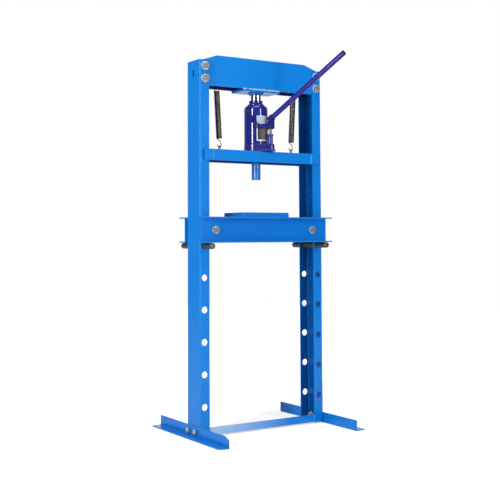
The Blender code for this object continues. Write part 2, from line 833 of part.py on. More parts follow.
def ram_beam():
    """An inverted channel whose long flanges run past the posts. It is shaped below Z = 0."""
    inner = BEAM_BEND - BEAM_WALL
    half = BEAM_OUTSIDE
    inside = half - BEAM_WALL
    outline = rounded(
        [
            (-half, -BEAM_HEIGHT, 0),
            (-inside, -BEAM_HEIGHT, 0),
            (-inside, -BEAM_WALL, inner),
            (inside, -BEAM_WALL, inner),
            (inside, -BEAM_HEIGHT, 0),
            (half, -BEAM_HEIGHT, 0),
            (half, 0, BEAM_BEND),
            (-half, 0, BEAM_BEND),
        ]
    )
    obj = prism("ram_beam", outline, BEAM_LENGTH, FRAME_PAINT, frame(Y_AXIS, Z_AXIS, (0, 0, 0)))
    for label, side in (("left", -1), ("right", 1)):
        ends = sorted((side * BEAM_PLATE_LENGTH / 2, side * (BEAM_LENGTH / 2 + OVERRUN)))
        start = (ends[0], -inside, -BEAM_HEIGHT - OVERRUN)
        stop = (ends[1], inside, OVERRUN)
        cut(obj, box(f"ram_beam_{label}_end", start, stop))
        x = side * SPRING_LOWER_SPREAD / 2
        width = EYE_THREAD + BOLT_ROOM
        low = (x, 0, -BEAM_WALL - OVERRUN)
        cut(obj, bar(f"ram_beam_{label}_eye", width, low, (x, 0, OVERRUN), sides=HOLE_SIDES))
    top = marker("beam_top", Matrix.Translation((0, 0, BEAM_TOP)))
    return carried(top, obj)


def ram_bar():
    """The round ram under the beam."""
    top = BEAM_TOP - BEAM_WALL - GAP
    bottom = BEAM_TOP - BEAM_HEIGHT - RAM_DROP
    radius = RAM / 2
    profile = [
        (0, top),
        (radius, top),
        (radius, bottom + RAM_CHAMFER),
        (radius - RAM_CHAMFER, bottom),
        (0, bottom),
    ]
    return turned("ram_tube", profile, FRAME_PAINT)


# Return springs, eye bolts and rods

EYE_HEIGHT = BEAM_TOP + GAP + EYE_NUT_HEIGHT + EYE_RADIUS + EYE_WIRE / 4
HOOK_LOW = EYE_HEIGHT + EYE_RADIUS - EYE_WIRE / 2 - GAP - SPRING_WIRE / 2 + HOOK_RADIUS
ROD_HEIGHT = HEAD_BOTTOM + ROD_RISE
HOOK_HIGH = ROD_HEIGHT + ROD / 2 + GAP + SPRING_WIRE / 2 - HOOK_RADIUS


def spring_points():
    """The spring's line: a hook, the close turns and the other hook, along Z from the low hook."""
    lean = (SPRING_UPPER_SPREAD - SPRING_LOWER_SPREAD) / 2
    length = math.hypot(lean, HOOK_HIGH - HOOK_LOW)
    coil = (SPRING_DIAMETER - SPRING_WIRE) / 2
    start = (length - SPRING_BODY) / 2
    hook = []
    for step in range(HOOK_ARC_POINTS):
        share = step / (HOOK_ARC_POINTS - 1)
        angle = HOOK_FREE_ANGLE + (HOOK_CLOSE_ANGLE - HOOK_FREE_ANGLE) * share
        hook.append((HOOK_RADIUS * math.cos(angle), 0, HOOK_RADIUS * math.sin(angle)))
    for across_share, rise_share in HOOK_CROSS_SHARES:
        hook.append((coil * across_share, 0, HOOK_RADIUS + (start - HOOK_RADIUS) * rise_share))
    turns = []
    for step in range(SPRING_TURNS * CURL_POINTS + 1):
        angle = math.pi + math.tau * step / CURL_POINTS
        rise = SPRING_BODY * step / (SPRING_TURNS * CURL_POINTS)
        turns.append((coil * math.cos(angle), coil * math.sin(angle), start + rise))
    far = [(x, y, length - z) for x, y, z in reversed(hook)]
    return hook + turns + far


def least_gap(points, diameter):
    """The least distance between the wire's surfaces, over points half a turn or more apart."""
    line = np.array(points)
    apart = CURL_POINTS // 2
    least = math.inf
    for index in range(len(line) - apart):
        away = np.linalg.norm(line[index + apart:] - line[index], axis=1)
        least = min(least, away.min())
    return least - diameter


def springs():
    """Two return springs, leaning outward from the beam to the head."""
    points = spring_points()
    print(f"least gap in a return spring: {least_gap(points, SPRING_WIRE):.5f} m")
    lean = math.atan2((SPRING_UPPER_SPREAD - SPRING_LOWER_SPREAD) / 2, HOOK_HIGH - HOOK_LOW)
    for label, side in (("left", -1), ("right", 1)):
        at = Matrix.Translation((side * SPRING_LOWER_SPREAD / 2, 0, HOOK_LOW))
        place = at @ Matrix.Rotation(side * lean, 4, "Y")
        tube(f"return_spring_{label}", points, SPRING_WIRE, 1, look=SPRING_STEEL, place=place)


def eye_bolt(name, side):
    """An eye on the beam for a spring's lower hook, with nuts above and below the plate."""
    ring = []
    for step in range(HOLE_SIDES):
        angle = math.tau * step / HOLE_SIDES
        ring.append((0, EYE_RADIUS * math.cos(angle), EYE_RADIUS * math.sin(angle)))
    place = Matrix.Translation((side * SPRING_LOWER_SPREAD / 2, 0, EYE_HEIGHT))
    obj = tube(name, ring, EYE_WIRE, 1, cyclic=True, look=ZINC, place=place)
    x = side * SPRING_LOWER_SPREAD / 2
    seat_height = BEAM_TOP + GAP
    under = BEAM_TOP - BEAM_WALL - GAP
    across = EYE_NUT / math.cos(math.pi / 6)
    shank = bar(name + "_shank", EYE_THREAD, (x, 0, EYE_HEIGHT - EYE_RADIUS),
                (x, 0, under - EYE_NUT_HEIGHT - EYE_TAIL), sides=BOLT_SIDES)
    upper = bar(name + "_upper_nut", across, (x, 0, seat_height),
                (x, 0, seat_height + EYE_NUT_HEIGHT), sides=6)
    lower = bar(name + "_lower_nut", across, (x, 0, under), (x, 0, under - EYE_NUT_HEIGHT), sides=6)
    return join(obj, shank, upper, lower)


def spring_rod(name, side):
    """A rod between the head plates for a spring's upper hook."""
    x = side * SPRING_UPPER_SPREAD / 2
    half = HEAD_INSIDE - GAP
    return bar(name, ROD, (x, -half, ROD_HEIGHT), (x, half, ROD_HEIGHT), FRAME_PAINT)


# Jack. Everything here is in the jack's own frame, with the pump towards +X.


def drop_outline(radius, nose_reach, nose_radius):
    """The outline round a large circle and a smaller one in front of it."""
    turn = math.acos((radius - nose_radius) / nose_reach)
    points = []
    for step in range(TANK_SIDES // 2 + 1):
        angle = turn + (math.tau - 2 * turn) * step / (TANK_SIDES // 2)
        points.append((radius * math.cos(angle), radius * math.sin(angle)))
    for step in range(HOLE_SIDES // 2 + 1):
        angle = 2 * turn * step / (HOLE_SIDES // 2) - turn
        nose = nose_reach + nose_radius * math.cos(angle)
        points.append((nose, nose_radius * math.sin(angle)))
    return points


def jack_base(carrier):
    """The cast base: a round block with a nose for the pump, on a thin flange."""
    rim = drop_outline(BASE_RADIUS, PUMP_REACH, BASE_NOSE_RADIUS + BASE_FLANGE)
    low = Matrix.Translation((0, 0, BASE_BOTTOM + BASE_FLANGE_HEIGHT / 2))
    obj = prism("jack_base", rim, BASE_FLANGE_HEIGHT, JACK_PAINT, low)
    outline = drop_outline(BASE_RADIUS - BASE_FLANGE, PUMP_REACH, BASE_NOSE_RADIUS)
    tall = BASE_HEIGHT - BASE_FLANGE_HEIGHT / 2
    high = Matrix.Translation((0, 0, BASE_TOP - tall / 2))
    block = bevel(prism("jack_base_block", outline, tall, None, high), BASE_BEVEL)
    pump_hole = bar("jack_base_pump_hole", PUMP_CYLINDER + 2 * GAP,
                    (PUMP_REACH, 0, BASE_TOP - PUMP_CYLINDER_SEAT),
                    (PUMP_REACH, 0, BASE_TOP + OVERRUN), sides=ROUND_SIDES)
    aim = Vector((math.cos(VALVE_ANGLE), math.sin(VALVE_ANGLE), 0))
    height = Vector((0, 0, BASE_BOTTOM + VALVE_HEIGHT))
    inner = BASE_RADIUS - BASE_FLANGE - VALVE_SHANK_LENGTH - BOLT_ROOM
    valve_hole = bar("jack_base_valve_hole", VALVE_SHANK + BOLT_ROOM, aim * inner + height,
                     aim * (BASE_RADIUS + OVERRUN) + height, sides=HOLE_SIDES)
    join(obj, cut(block, pump_hole, valve_hole))
    return carried(carrier, obj)


def tank_profile():
    """The tank's wall: down its outside from the neck, and back up inside."""
    outside = []
    inside = []
    for step in range(SHOULDER_STEPS + 1):
        angle = math.pi / 2 * step / SHOULDER_STEPS
        wide = math.sin(angle)
        tall = math.cos(angle)
        outside.append((NECK / 2 + (TANK - NECK) / 2 * wide, SHOULDER + SHOULDER_HEIGHT * tall))
        room = TANK / 2 - TANK_WALL - NECK_BORE / 2
        inside.append((NECK_BORE / 2 + room * wide, SHOULDER + (SHOULDER_HEIGHT - TANK_WALL) * tall))
    inside.reverse()
    bottom = [(TANK / 2, TANK_BOTTOM), (TANK / 2 - TANK_WALL, TANK_BOTTOM)]
    return [(NECK_BORE / 2, NECK_TOP)] + outside + bottom + inside


def jack_tank(carrier):
    """The oil tank, a shell with a lug on each side for the straps."""
    obj = turned("jack_tank", tank_profile(), JACK_PAINT, sides=TANK_SIDES)
    height = BASE_TOP + LUG_HEIGHT
    for label, side in (("left", -1), ("right", 1)):
        lug = bar(f"jack_tank_{label}_lug", LUG, (-LUG_BACK, side * LUG_ROOT, height),
                  (-LUG_BACK, side * EAR_OUTSIDE, height), sides=HOLE_SIDES)
        floor = EAR_OUTSIDE - LUG_BOLT_DEPTH - GAP
        hole = bar(f"jack_tank_{label}_hole", LUG_BOLT + BOLT_ROOM, (-LUG_BACK, side * floor, height),
                   (-LUG_BACK, side * (EAR_OUTSIDE + OVERRUN), height), sides=HOLE_SIDES)
        join(obj, lug)
        cut(obj, hole)
    plug_height = TANK_BOTTOM + PLUG_HEIGHT
    filler = bar("jack_tank_filler", PLUG_HOLE, (-TANK / 2 - OVERRUN, 0, plug_height),
                 (-TANK / 2 + TANK_WALL + OVERRUN, 0, plug_height), sides=HOLE_SIDES)
    cut(obj, filler)
    return carried(carrier, obj)


def jack_cylinder(carrier):
    """The steel cylinder inside the tank that the piston slides in."""
    bore = PISTON / 2 + GAP
    outside = bore + CYLINDER_WALL
    top = NUT_BOTTOM - NUT_SKIRT - GAP
    profile = [(bore, top), (outside, top), (outside, TANK_BOTTOM), (bore, TANK_BOTTOM)]
    return carried(carrier, turned("jack_cylinder", profile, ZINC))


def jack_top_nut(carrier):
    """The gland nut round the piston, flared at its foot, with a skirt in the tank's neck."""
    bore = PISTON / 2 + GAP
    top = NUT_BOTTOM + NUT_HEIGHT
    flare = NUT_BOTTOM + NUT_FLARE_HEIGHT
    skirt = NECK_BORE / 2 - GAP
    profile = [
        (bore, top),
        (NUT_TOP / 2 - PISTON_CHAMFER, top),
        (NUT_TOP / 2, top - PISTON_CHAMFER),
        (NUT_TOP / 2, flare),
        (NECK / 2, NUT_BOTTOM + NUT_FLARE_HEIGHT / 2),
        (NECK / 2, NUT_BOTTOM),
        (skirt, NUT_BOTTOM),
        (skirt, NUT_BOTTOM - NUT_SKIRT),
        (bore, NUT_BOTTOM - NUT_SKIRT),
    ]
    return carried(carrier, turned("jack_top_nut", profile, JACK_PAINT))


def jack_piston(carrier):
    """The piston, from inside the cylinder up into the cup under the head."""
    radius = PISTON / 2
    top = CUP_BASE + CUP_RECESS - GAP
    bottom = BASE_TOP + PISTON_FOOT
    profile = [
        (0, top),
        (radius - PISTON_CHAMFER, top),
        (radius, top - PISTON_CHAMFER),
        (radius, bottom),
        (0, bottom),
    ]
    return carried(carrier, turned("jack_piston", profile, CHROME))


def filler_plug(carrier):
    """The rubber plug in the back of the tank."""
    depth = TANK_WALL
    profile = [
        (0, GAP + PLUG_HEAD_HEIGHT),
        (PLUG_HEAD / 2 - PLUG_HEAD_HEIGHT / 2, GAP + PLUG_HEAD_HEIGHT),
        (PLUG_HEAD / 2, GAP + PLUG_HEAD_HEIGHT / 2),
        (PLUG_HEAD / 2, GAP),
        (PLUG_HOLE / 2 - GAP, GAP),
        (PLUG_HOLE / 2 - GAP, -depth),
        (0, -depth),
    ]
    place = frame(Y_AXIS, Z_AXIS, (0, 0, 0)) @ Matrix.Rotation(math.pi, 4, "Y")
    place = Matrix.Translation((-TANK / 2, 0, TANK_BOTTOM + PLUG_HEIGHT)) @ place
    return carried(carrier, turned("filler_plug", profile, RUBBER, place, sides=SMALL_SIDES))


def release_valve(carrier):
    """The release screw in the side of the base, on its own axis."""
    seat_radius = BASE_RADIUS + GAP
    aim = Matrix.Rotation(VALVE_ANGLE, 4, "Z") @ frame(Y_AXIS, Z_AXIS, (0, 0, 0))
    place = Matrix.Translation((math.cos(VALVE_ANGLE) * seat_radius,
                                math.sin(VALVE_ANGLE) * seat_radius,
                                BASE_BOTTOM + VALVE_HEIGHT)) @ aim
    knob = VALVE_KNOB / 2
    profile = [
        (0, VALVE_KNOB_LENGTH),
        (knob - PISTON_CHAMFER, VALVE_KNOB_LENGTH),
        (knob, VALVE_KNOB_LENGTH - PISTON_CHAMFER),
        (knob, 0),
        (VALVE_SHANK / 2, 0),
        (VALVE_SHANK / 2, -BASE_FLANGE - VALVE_SHANK_LENGTH),
        (0, -BASE_FLANGE - VALVE_SHANK_LENGTH),
    ]
    axis = marker("release_valve_axis", place, carrier)
    obj = turned("release_valve", profile, ZINC, sides=SMALL_SIDES)
    half = VALVE_SLOT / 2
    slot = box("release_valve_slot", (-half, -knob - OVERRUN, VALVE_KNOB_LENGTH - VALVE_SLOT_DEPTH),
               (half, knob + OVERRUN, VALVE_KNOB_LENGTH + OVERRUN))
    return carried(axis, cut(obj, slot))


# Pump


def pump_cylinder(carrier):
    """The pump's cylinder, seated in the base's nose, with a collar at its mouth."""
    bottom = BASE_TOP - PUMP_CYLINDER_SEAT + GAP
    top = BASE_TOP + PUMP_CYLINDER_HEIGHT
    bore = PLUNGER / 2 + PLUNGER_PLAY
    outside = PUMP_CYLINDER / 2
    neck = outside - PUMP_COLLAR_GROOVE
    collar = top - PUMP_CYLINDER_COLLAR
    profile = [
        (bore, top),
        (outside, top),
        (outside, collar),
        (neck, collar - PUMP_COLLAR_GROOVE),
        (neck, BASE_TOP + PUMP_COLLAR_GROOVE),
        (outside, BASE_TOP),
        (outside, bottom),
        (0, bottom),
        (0, bottom + PUMP_FLOOR),
        (bore, bottom + PUMP_FLOOR),
    ]
    profile = profile[8:] + profile[:8]
    place = Matrix.Translation((PUMP_REACH, 0, 0))
    return carried(carrier, turned("pump_cylinder", profile, JACK_PAINT, place))


def pump_plunger(carrier):
    """The plunger with its eye. Its origin is at the eye, in line with the fulcrum."""
    foot_end = BASE_TOP + PLUNGER_FOOT - FULCRUM
    radius = PLUNGER / 2
    profile = [(0, 0), (radius, 0), (radius, foot_end), (0, foot_end)]
    axis = marker("plunger_axis", Matrix.Translation((PUMP_REACH, 0, FULCRUM)), carrier)
    obj = turned("pump_plunger", profile, CHROME, sides=SMALL_SIDES)
    half = PLUNGER_EYE_WIDTH / 2
    eye = bar("pump_plunger_eye", 2 * PLUNGER_EYE_RADIUS, (0, -half, 0), (0, half, 0),
              sides=ROUND_SIDES)
    hole = bar("pump_plunger_hole", PLUNGER_PIN + 2 * GAP, (0, -half - OVERRUN, 0),
               (0, half + OVERRUN, 0), sides=HOLE_SIDES)
    join(obj, eye)
    cut(obj, hole)
    carried(axis, obj)
    reach = FORK_CHEEK_HALF + PLUNGER_PIN_OVERHANG
    pin = bar("plunger_pin", PLUNGER_PIN, (0, -reach, 0), (0, reach, 0), PIN_STEEL, sides=HOLE_SIDES)
    carried(axis, pin)
    return obj


def fork_outline():
    """The lever seen from above: two ears beside the tank, arms that close in, and a nose."""
    outside = [
        (-EAR_BACK, EAR_OUTSIDE, EAR_WALL / 3),
        (EAR_FRONT, EAR_OUTSIDE, 0),
        (FORK_CHEEK_FRONT, FORK_CHEEK_HALF, 0),
        (FORK_NOSE, FORK_NOSE_HALF, FORK_NOSE_HALF / 2),
    ]
    inside = [
        (FORK_THROAT, FORK_THROAT_HALF, 0),
        (EAR_INNER_FRONT, EAR_OUTSIDE - EAR_WALL, 0),
        (-EAR_BACK, EAR_OUTSIDE - EAR_WALL, EAR_WALL / 3),
    ]
    low = [(x, -y, r) for x, y, r in outside]
    low_inside = [(x, -y, r) for x, y, r in reversed(inside)]
    return rounded(low + outside[::-1] + inside[::-1] + low_inside[::-1])


def pump_lever(pivot, socket):
    """The fork lever that works the plunger, with the handle's socket on a web above it."""
    obj = prism("pump_lever", fork_outline(), FORK_THICKNESS, JACK_PAINT)
    pin_reach = PUMP_REACH - FULCRUM_REACH
    cheek = bar("pump_lever_cheek", 2 * CHEEK_RADIUS, (pin_reach, -FORK_CHEEK_HALF + OVERRUN / 4, 0),
                (pin_reach, FORK_CHEEK_HALF - OVERRUN / 4, 0), sides=ROUND_SIDES)
    web_outline = [
        (WEB_BACK, FORK_THICKNESS / 2 - WEB_SINK),
        (WEB_FRONT, FORK_THICKNESS / 2 - WEB_SINK),
        (WEB_TIP_REACH, WEB_TIP_RISE),
        (WEB_ROOT_REACH, WEB_ROOT_RISE),
    ]
    web = prism("pump_lever_web", web_outline, WEB_WIDTH, None, frame(X_AXIS, Z_AXIS, (0, 0, 0)))
    aim = Vector((math.cos(HANDLE_ANGLE), 0, math.sin(HANDLE_ANGLE)))
    root = Vector((SOCKET_START, 0, SOCKET_RISE))
    outer = HANDLE + 2 * (GAP + SOCKET_WALL)
    sleeve = bar("pump_lever_socket", outer, root, root + aim * SOCKET_LENGTH, sides=ROUND_SIDES)
    join(obj, cheek, web, sleeve)
    bore = bar("pump_lever_bore", HANDLE + 2 * GAP, root + aim * SOCKET_FLOOR,
               root + aim * (SOCKET_LENGTH + OVERRUN), sides=ROUND_SIDES)
    half = PLUNGER_EYE_WIDTH / 2 + POCKET_PLAY
    pocket = box("pump_lever_pocket",
                 (pin_reach - POCKET_BACK, -half, -CHEEK_RADIUS - OVERRUN),
                 (pin_reach + POCKET_FRONT, half, POCKET_TOP))
    across = PLUNGER_PIN + 2 * PIN_SLOT_PLAY
    slot_outline = link_outline((pin_reach, 0), (pin_reach + PIN_SLOT_RUN, 0), across)
    slot = prism("pump_lever_pin_slot", slot_outline, 2 * (FORK_CHEEK_HALF + OVERRUN), None,
                 frame(X_AXIS, Z_AXIS, (0, 0, 0)))
    fulcrum_hole = bar("pump_lever_fulcrum_hole", FULCRUM_PIN + BOLT_ROOM,
                       (0, -EAR_OUTSIDE - OVERRUN, 0), (0, EAR_OUTSIDE + OVERRUN, 0),
                       sides=HOLE_SIDES)
    cut(obj, bore, pocket, slot, fulcrum_hole)
    carried(pivot, obj)
    start = SOCKET_FLOOR + GAP
    inner = HANDLE / 2 - HANDLE_WALL
    profile = [
        (inner, start + HANDLE_LENGTH),
        (HANDLE / 2, start + HANDLE_LENGTH),
        (HANDLE / 2, start),
        (inner, start),
    ]
    carried(socket, turned("handle_tube", profile, HANDLE_PAINT))
    return obj


def strap_place(side, depth):
    """The placing of a flat piece beside the tank, at this distance from the jack's centre."""
    return frame(X_AXIS, Z_AXIS, (0, side * depth, 0))


def straps(carrier):
    """Two flat straps from the tank's lugs to the fulcrum, each with its bolt and its pin."""
    lug = Vector((-LUG_BACK, BASE_TOP + LUG_HEIGHT))
    fulcrum = Vector((FULCRUM_REACH, FULCRUM))
    outline = link_outline(lug, fulcrum, STRAP_WIDTH)
    hex_width = LUG_BOLT_WRENCH / math.cos(math.pi / 6)
    for label, side in (("left", -1), ("right", 1)):
        middle = side * (STRAP_INSIDE + STRAP_WALL / 2)
        strap = prism(f"fulcrum_strap_{label}", outline, STRAP_WALL, JACK_PAINT,
                      strap_place(1, middle))
        inner = side * (STRAP_INSIDE - OVERRUN / 4)
        outer = side * (STRAP_OUTSIDE + OVERRUN)
        for hole_name, centre, width in (("lug", lug, LUG_BOLT), ("fulcrum", fulcrum, FULCRUM_PIN)):
            hole = bar(f"fulcrum_strap_{label}_{hole_name}", width + BOLT_ROOM,
                       (centre.x, inner, centre.y), (centre.x, outer, centre.y), sides=HOLE_SIDES)
            cut(strap, hole)
        carried(carrier, strap)
        head = side * (STRAP_OUTSIDE + GAP)
        bolt = bar(f"strap_bolt_{label}", hex_width, (lug.x, head, lug.y),
                   (lug.x, head + side * LUG_BOLT_HEAD, lug.y), ZINC, sides=6)
        shank_end = side * (EAR_OUTSIDE - LUG_BOLT_DEPTH)
        shank = bar(f"strap_bolt_{label}_shank", LUG_BOLT, (lug.x, shank_end, lug.y),
                    (lug.x, head + side * LUG_BOLT_HEAD / 2, lug.y), sides=HOLE_SIDES)
        carried(carrier, join(bolt, shank))
        fulcrum_pin(carrier, f"fulcrum_pin_{label}", side)


def fulcrum_pin(carrier, name, side):
    """A headed pin through a strap and an ear of the lever, peened inside."""
    radius = FULCRUM_PIN / 2
    head = FULCRUM_PIN_HEAD / 2
    seat_top = STRAP_OUTSIDE + GAP
    ear_inside = EAR_OUTSIDE - EAR_WALL - GAP
    profile = [
        (0, seat_top + FULCRUM_PIN_HEAD_WALL),
        (head - FULCRUM_PIN_HEAD_WALL / 2, seat_top + FULCRUM_PIN_HEAD_WALL),
        (head, seat_top + FULCRUM_PIN_HEAD_WALL / 2),
        (head, seat_top),
        (radius, seat_top),
        (radius, ear_inside),
        (head, ear_inside),
        (head - FULCRUM_PIN_TAIL / 2, ear_inside - FULCRUM_PIN_TAIL),
        (0, ear_inside - FULCRUM_PIN_TAIL),
    ]
    place = frame(side * X_AXIS, -Z_AXIS, (FULCRUM_REACH, 0, FULCRUM))
    return carried(carrier, turned(name, profile, PIN_STEEL, place, sides=HOLE_SIDES))


def build_frame():
    """The welded and bolted frame."""
    for label, side in (("left", -1), ("right", 1)):
        post(f"{label}_post", side)
        foot(f"{label}_foot", side, label == "left")
        spring_rod(f"spring_rod_{label}", side)
    head_plate("head_plate_front", -1)
    head_plate("head_plate_back", 1)
    head_bolts()
    seat()
    seat_cup()
    foot_bolts()
    tie_bar()


def build_bed():
    """The bed with what lies on it and under it."""
    bed_channel("bed_channel_front", -1)
    bed_channel("bed_channel_back", 1)
    bed_bolts_and_spacers()
    support_pin("support_pin_left", -1)
    support_pin("support_pin_right", 1)
    left_end = PLATE_SEAM - GAP / 2 - PLATE_LEFT_LENGTH
    arbor_plate("arbor_plate_left", left_end, PLATE_LEFT_LENGTH)
    arbor_plate("arbor_plate_right", PLATE_SEAM + GAP / 2, PLATE_RIGHT_LENGTH)


def build_ram():
    """The beam, the ram and the springs that lift them."""
    ram_beam()
    ram_bar()
    eye_bolt("eye_bolt_left", -1)
    eye_bolt("eye_bolt_right", 1)
    springs()


def build_jack():
    """The bottle jack with its pump and handle."""
    jack_axis = marker("jack_axis", Matrix.Rotation(JACK_TURN, 4, "Z"))
    jack_base(jack_axis)
    jack_tank(jack_axis)
    jack_cylinder(jack_axis)
    jack_top_nut(jack_axis)
    jack_piston(jack_axis)
    filler_plug(jack_axis)
    release_valve(jack_axis)
    pump_cylinder(jack_axis)
    pump_plunger(jack_axis)
    straps(jack_axis)
    pivot = marker("lever_pivot", Matrix.Translation((FULCRUM_REACH, 0, FULCRUM)), jack_axis)
    slope = Matrix.Rotation(math.pi / 2 - HANDLE_ANGLE, 4, "Y")
    root = Matrix.Translation((SOCKET_START, 0, SOCKET_RISE))
    socket = marker("socket_axis", root @ slope, pivot)
    pump_lever(pivot, socket)


def middle_of_depth():
    """The middle of the press from front to back."""
    bpy.context.view_layer.update()
    graph = bpy.context.evaluated_depsgraph_get()
    depths = []
    for obj in PARTS.objects:
        if obj.type != "MESH":
            continue
        shape = obj.evaluated_get(graph)
        mesh = shape.to_mesh()
        depths.extend((shape.matrix_world @ point.co).y for point in mesh.vertices)
        shape.to_mesh_clear()
    return (min(depths) + max(depths)) / 2


def set_back():
    """Hangs every piece on one empty, and moves it so that the outline is centred in depth."""
    whole = marker("press_origin", Matrix())
    for obj in list(PARTS.objects):
        if obj != whole and not obj.parent:
            carried(whole, obj)
    whole.location.y = -middle_of_depth()
    print(f"the frame's middle plane is at y = {whole.location.y:.7f} m")


build_frame()
build_bed()
build_ram()
build_jack()
set_back()
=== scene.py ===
import math

import bmesh
import bpy
import numpy as np
from mathutils import Matrix, Vector


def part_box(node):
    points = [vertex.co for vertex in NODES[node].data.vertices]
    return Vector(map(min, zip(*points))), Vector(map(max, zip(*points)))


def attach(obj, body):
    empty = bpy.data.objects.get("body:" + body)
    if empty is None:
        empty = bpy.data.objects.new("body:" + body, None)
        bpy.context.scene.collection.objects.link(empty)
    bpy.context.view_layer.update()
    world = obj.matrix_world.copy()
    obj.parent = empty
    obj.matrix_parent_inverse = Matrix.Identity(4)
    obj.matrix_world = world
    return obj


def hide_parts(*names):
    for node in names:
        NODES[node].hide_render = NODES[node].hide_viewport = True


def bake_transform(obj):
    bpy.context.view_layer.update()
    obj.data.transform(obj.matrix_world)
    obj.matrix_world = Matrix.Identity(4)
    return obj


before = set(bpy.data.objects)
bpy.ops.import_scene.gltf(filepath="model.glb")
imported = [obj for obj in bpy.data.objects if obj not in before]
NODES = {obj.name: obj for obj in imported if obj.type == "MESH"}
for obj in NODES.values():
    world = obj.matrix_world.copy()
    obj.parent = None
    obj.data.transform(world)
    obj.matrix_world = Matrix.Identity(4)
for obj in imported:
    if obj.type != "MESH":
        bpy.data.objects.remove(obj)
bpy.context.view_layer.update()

X_AXIS = Vector((1, 0, 0))
Y_AXIS = Vector((0, 1, 0))
Z_AXIS = Vector((0, 0, 1))
SIDES = (("left", -1), ("right", 1))
FACES = (("front", -1), ("back", 1))

# The press is laid out about the frame's middle plane, which stands behind the origin.
POST_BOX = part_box("left_post")
MIDDLE = Matrix.Translation((0, (POST_BOX[0].y + POST_BOX[1].y) / 2, 0))

# Frame
FRAME_WIDTH = 0.500
POST_DEPTH = 0.087
POST_FLANGE = 0.037
POST_WALL = 0.004
POST_BEND = 0.0055
POST_FOOT = 0.004
POST_TOP = 1.250
PIN_HOLE = 0.022
PIN_HOLE_INSET = 0.0185
PIN_HOLE_FIRST = 0.0987
PIN_HOLE_PITCH = 0.10574
PIN_HOLE_COUNT = 6
WEB_SLOT_WIDTH = 0.011
WEB_SLOT_HALF = 0.0075
WEB_SLOT_Z = 1.206
HEAD_TOP = 1.269
HEAD_BOTTOM = 1.165
HEAD_END = 0.245
HEAD_CORNER_LENGTH = 0.065
HEAD_CORNER_DROP = 0.022
HEAD_FACE = 0.0392
HEAD_WALL = 0.006
HEAD_HOLE = 0.015
HEAD_BOLT_X = 0.229
HEAD_BOLT_Z = (1.187, 1.229)
FOOT_HALF = 0.228
FOOT_HEIGHT = 0.036
FOOT_REACH = 0.037
FOOT_WALL = 0.004
FOOT_FACE = 0.2503
FOOT_CORNER_LENGTH = 0.025
FOOT_CORNER_DROP = 0.009
FOOT_TOE_LENGTH = 0.012
FOOT_TOE_REACH = 0.014
FOOT_HOLE = 0.011
FOOT_BOLT_Y = 0.024
FOOT_BOLT_Z = 0.019
TIE_HALF = 0.2442
TIE_LEG = 0.028
TIE_HEIGHT = 0.026
TIE_LIFT = 0.0012
TIE_WALL = 0.0035

# Bed
BED_HALF = 0.257
BED_REAR_SHIFT = 0.005
BED_BOTTOM = 0.637
BED_HEIGHT = 0.086
BED_FLANGE = 0.0418
BED_WALL = 0.0043
BED_BEND = 0.006
BED_INSIDE = 0.0537
BED_HOLE = 0.013
BED_BOLT_X = 0.197
BED_BOLT_Z = BED_BOTTOM + BED_HEIGHT / 2
PIN = 0.020
PIN_HALF = 0.102
PIN_BACK = 0.003
PIN_X = 0.2315
PIN_Z = 0.6267
PIN_ROUND = 0.004

# Ram beam, ram and springs
BEAM_TOP = 0.951
BEAM_HEIGHT = 0.038
BEAM_WALL = 0.0045
BEAM_BEND = 0.006
BEAM_FACE = 0.051
BEAM_HALF = 0.236
BEAM_PLATE_HALF = 0.205
BEAM_SEAM_X = 0.200
RAM = 0.0316
RAM_BOTTOM = 0.853
SPRING_DIAMETER = 0.0205
SPRING_WIRE = 0.0029
SPRING_TURNS = 54
SPRING_BODY = 0.164
SPRING_LOW_X = 0.148
SPRING_HIGH_X = 0.160
HOOK_RADIUS = 0.0070
EYE_Z = 0.9609
EYE_RADIUS = 0.0052
EYE_WIRE = 0.0034
EYE_NUT = 0.0035
ROD = 0.008
ROD_Z = 1.178

# Jack, in its own frame with the pump towards +X
JACK = MIDDLE @ Matrix.Rotation(math.radians(-64), 4, "Z")
BASE_BOTTOM = 0.9513
BASE_TOP = 0.9773
TANK = 0.0835
TANK_BOTTOM = 0.9776
SHOULDER = 1.0966
SHOULDER_HEIGHT = 0.016
NECK = 0.061
NECK_BORE = 0.052
TANK_WALL = 0.003
PLUG_Z = TANK_BOTTOM + 0.093
NUT_BOTTOM = 1.1129
NUT_TOP_WIDTH = 0.049
NUT_HEIGHT = 0.0175
PISTON = 0.036
PISTON_TOP = 1.1526
PISTON_BOTTOM = 0.9853
CUP_BOTTOM = 1.1489
CUP_HEIGHT = 0.0075
PUMP_X = 0.058
PUMP_WELL = 0.012
FULCRUM_X = 0.031
FULCRUM_Z = 1.0373
FULCRUM_HOLE = 0.009
LUG_X = -0.008
LUG_Z = 1.0903
LUG_HOLE = 0.008
EAR_FACE = 0.0435
EAR_WALL = 0.0045
LEVER_PIN_ROOM = 0.0027
STRAP_INNER = 0.0438
STRAP_WALL = 0.004
HANDLE = 0.018
HANDLE_WALL = 0.002
HANDLE_TILT = math.radians(35.5)
HANDLE_LENGTH = 0.356
HANDLE_DARK_END = 0.006

# Room between pieces, and how far a cutter goes past what it cuts
GAP = 0.0003
OVER = 0.002

# Camera, as solved from the photograph's edges
CAMERA_AT = Vector((-1.82498, -2.83684, 0.65550))
CAMERA_YAW = math.radians(32.391)
CAMERA_PITCH = math.radians(3.389)
CAMERA_ROLL = math.radians(-0.261)
CAMERA_FOCAL_PIXELS = 968.99
CAMERA_DROP_PIXELS = -70.35
PICTURE_PIXELS = 500
SENSOR = 36


# Trees of nodes

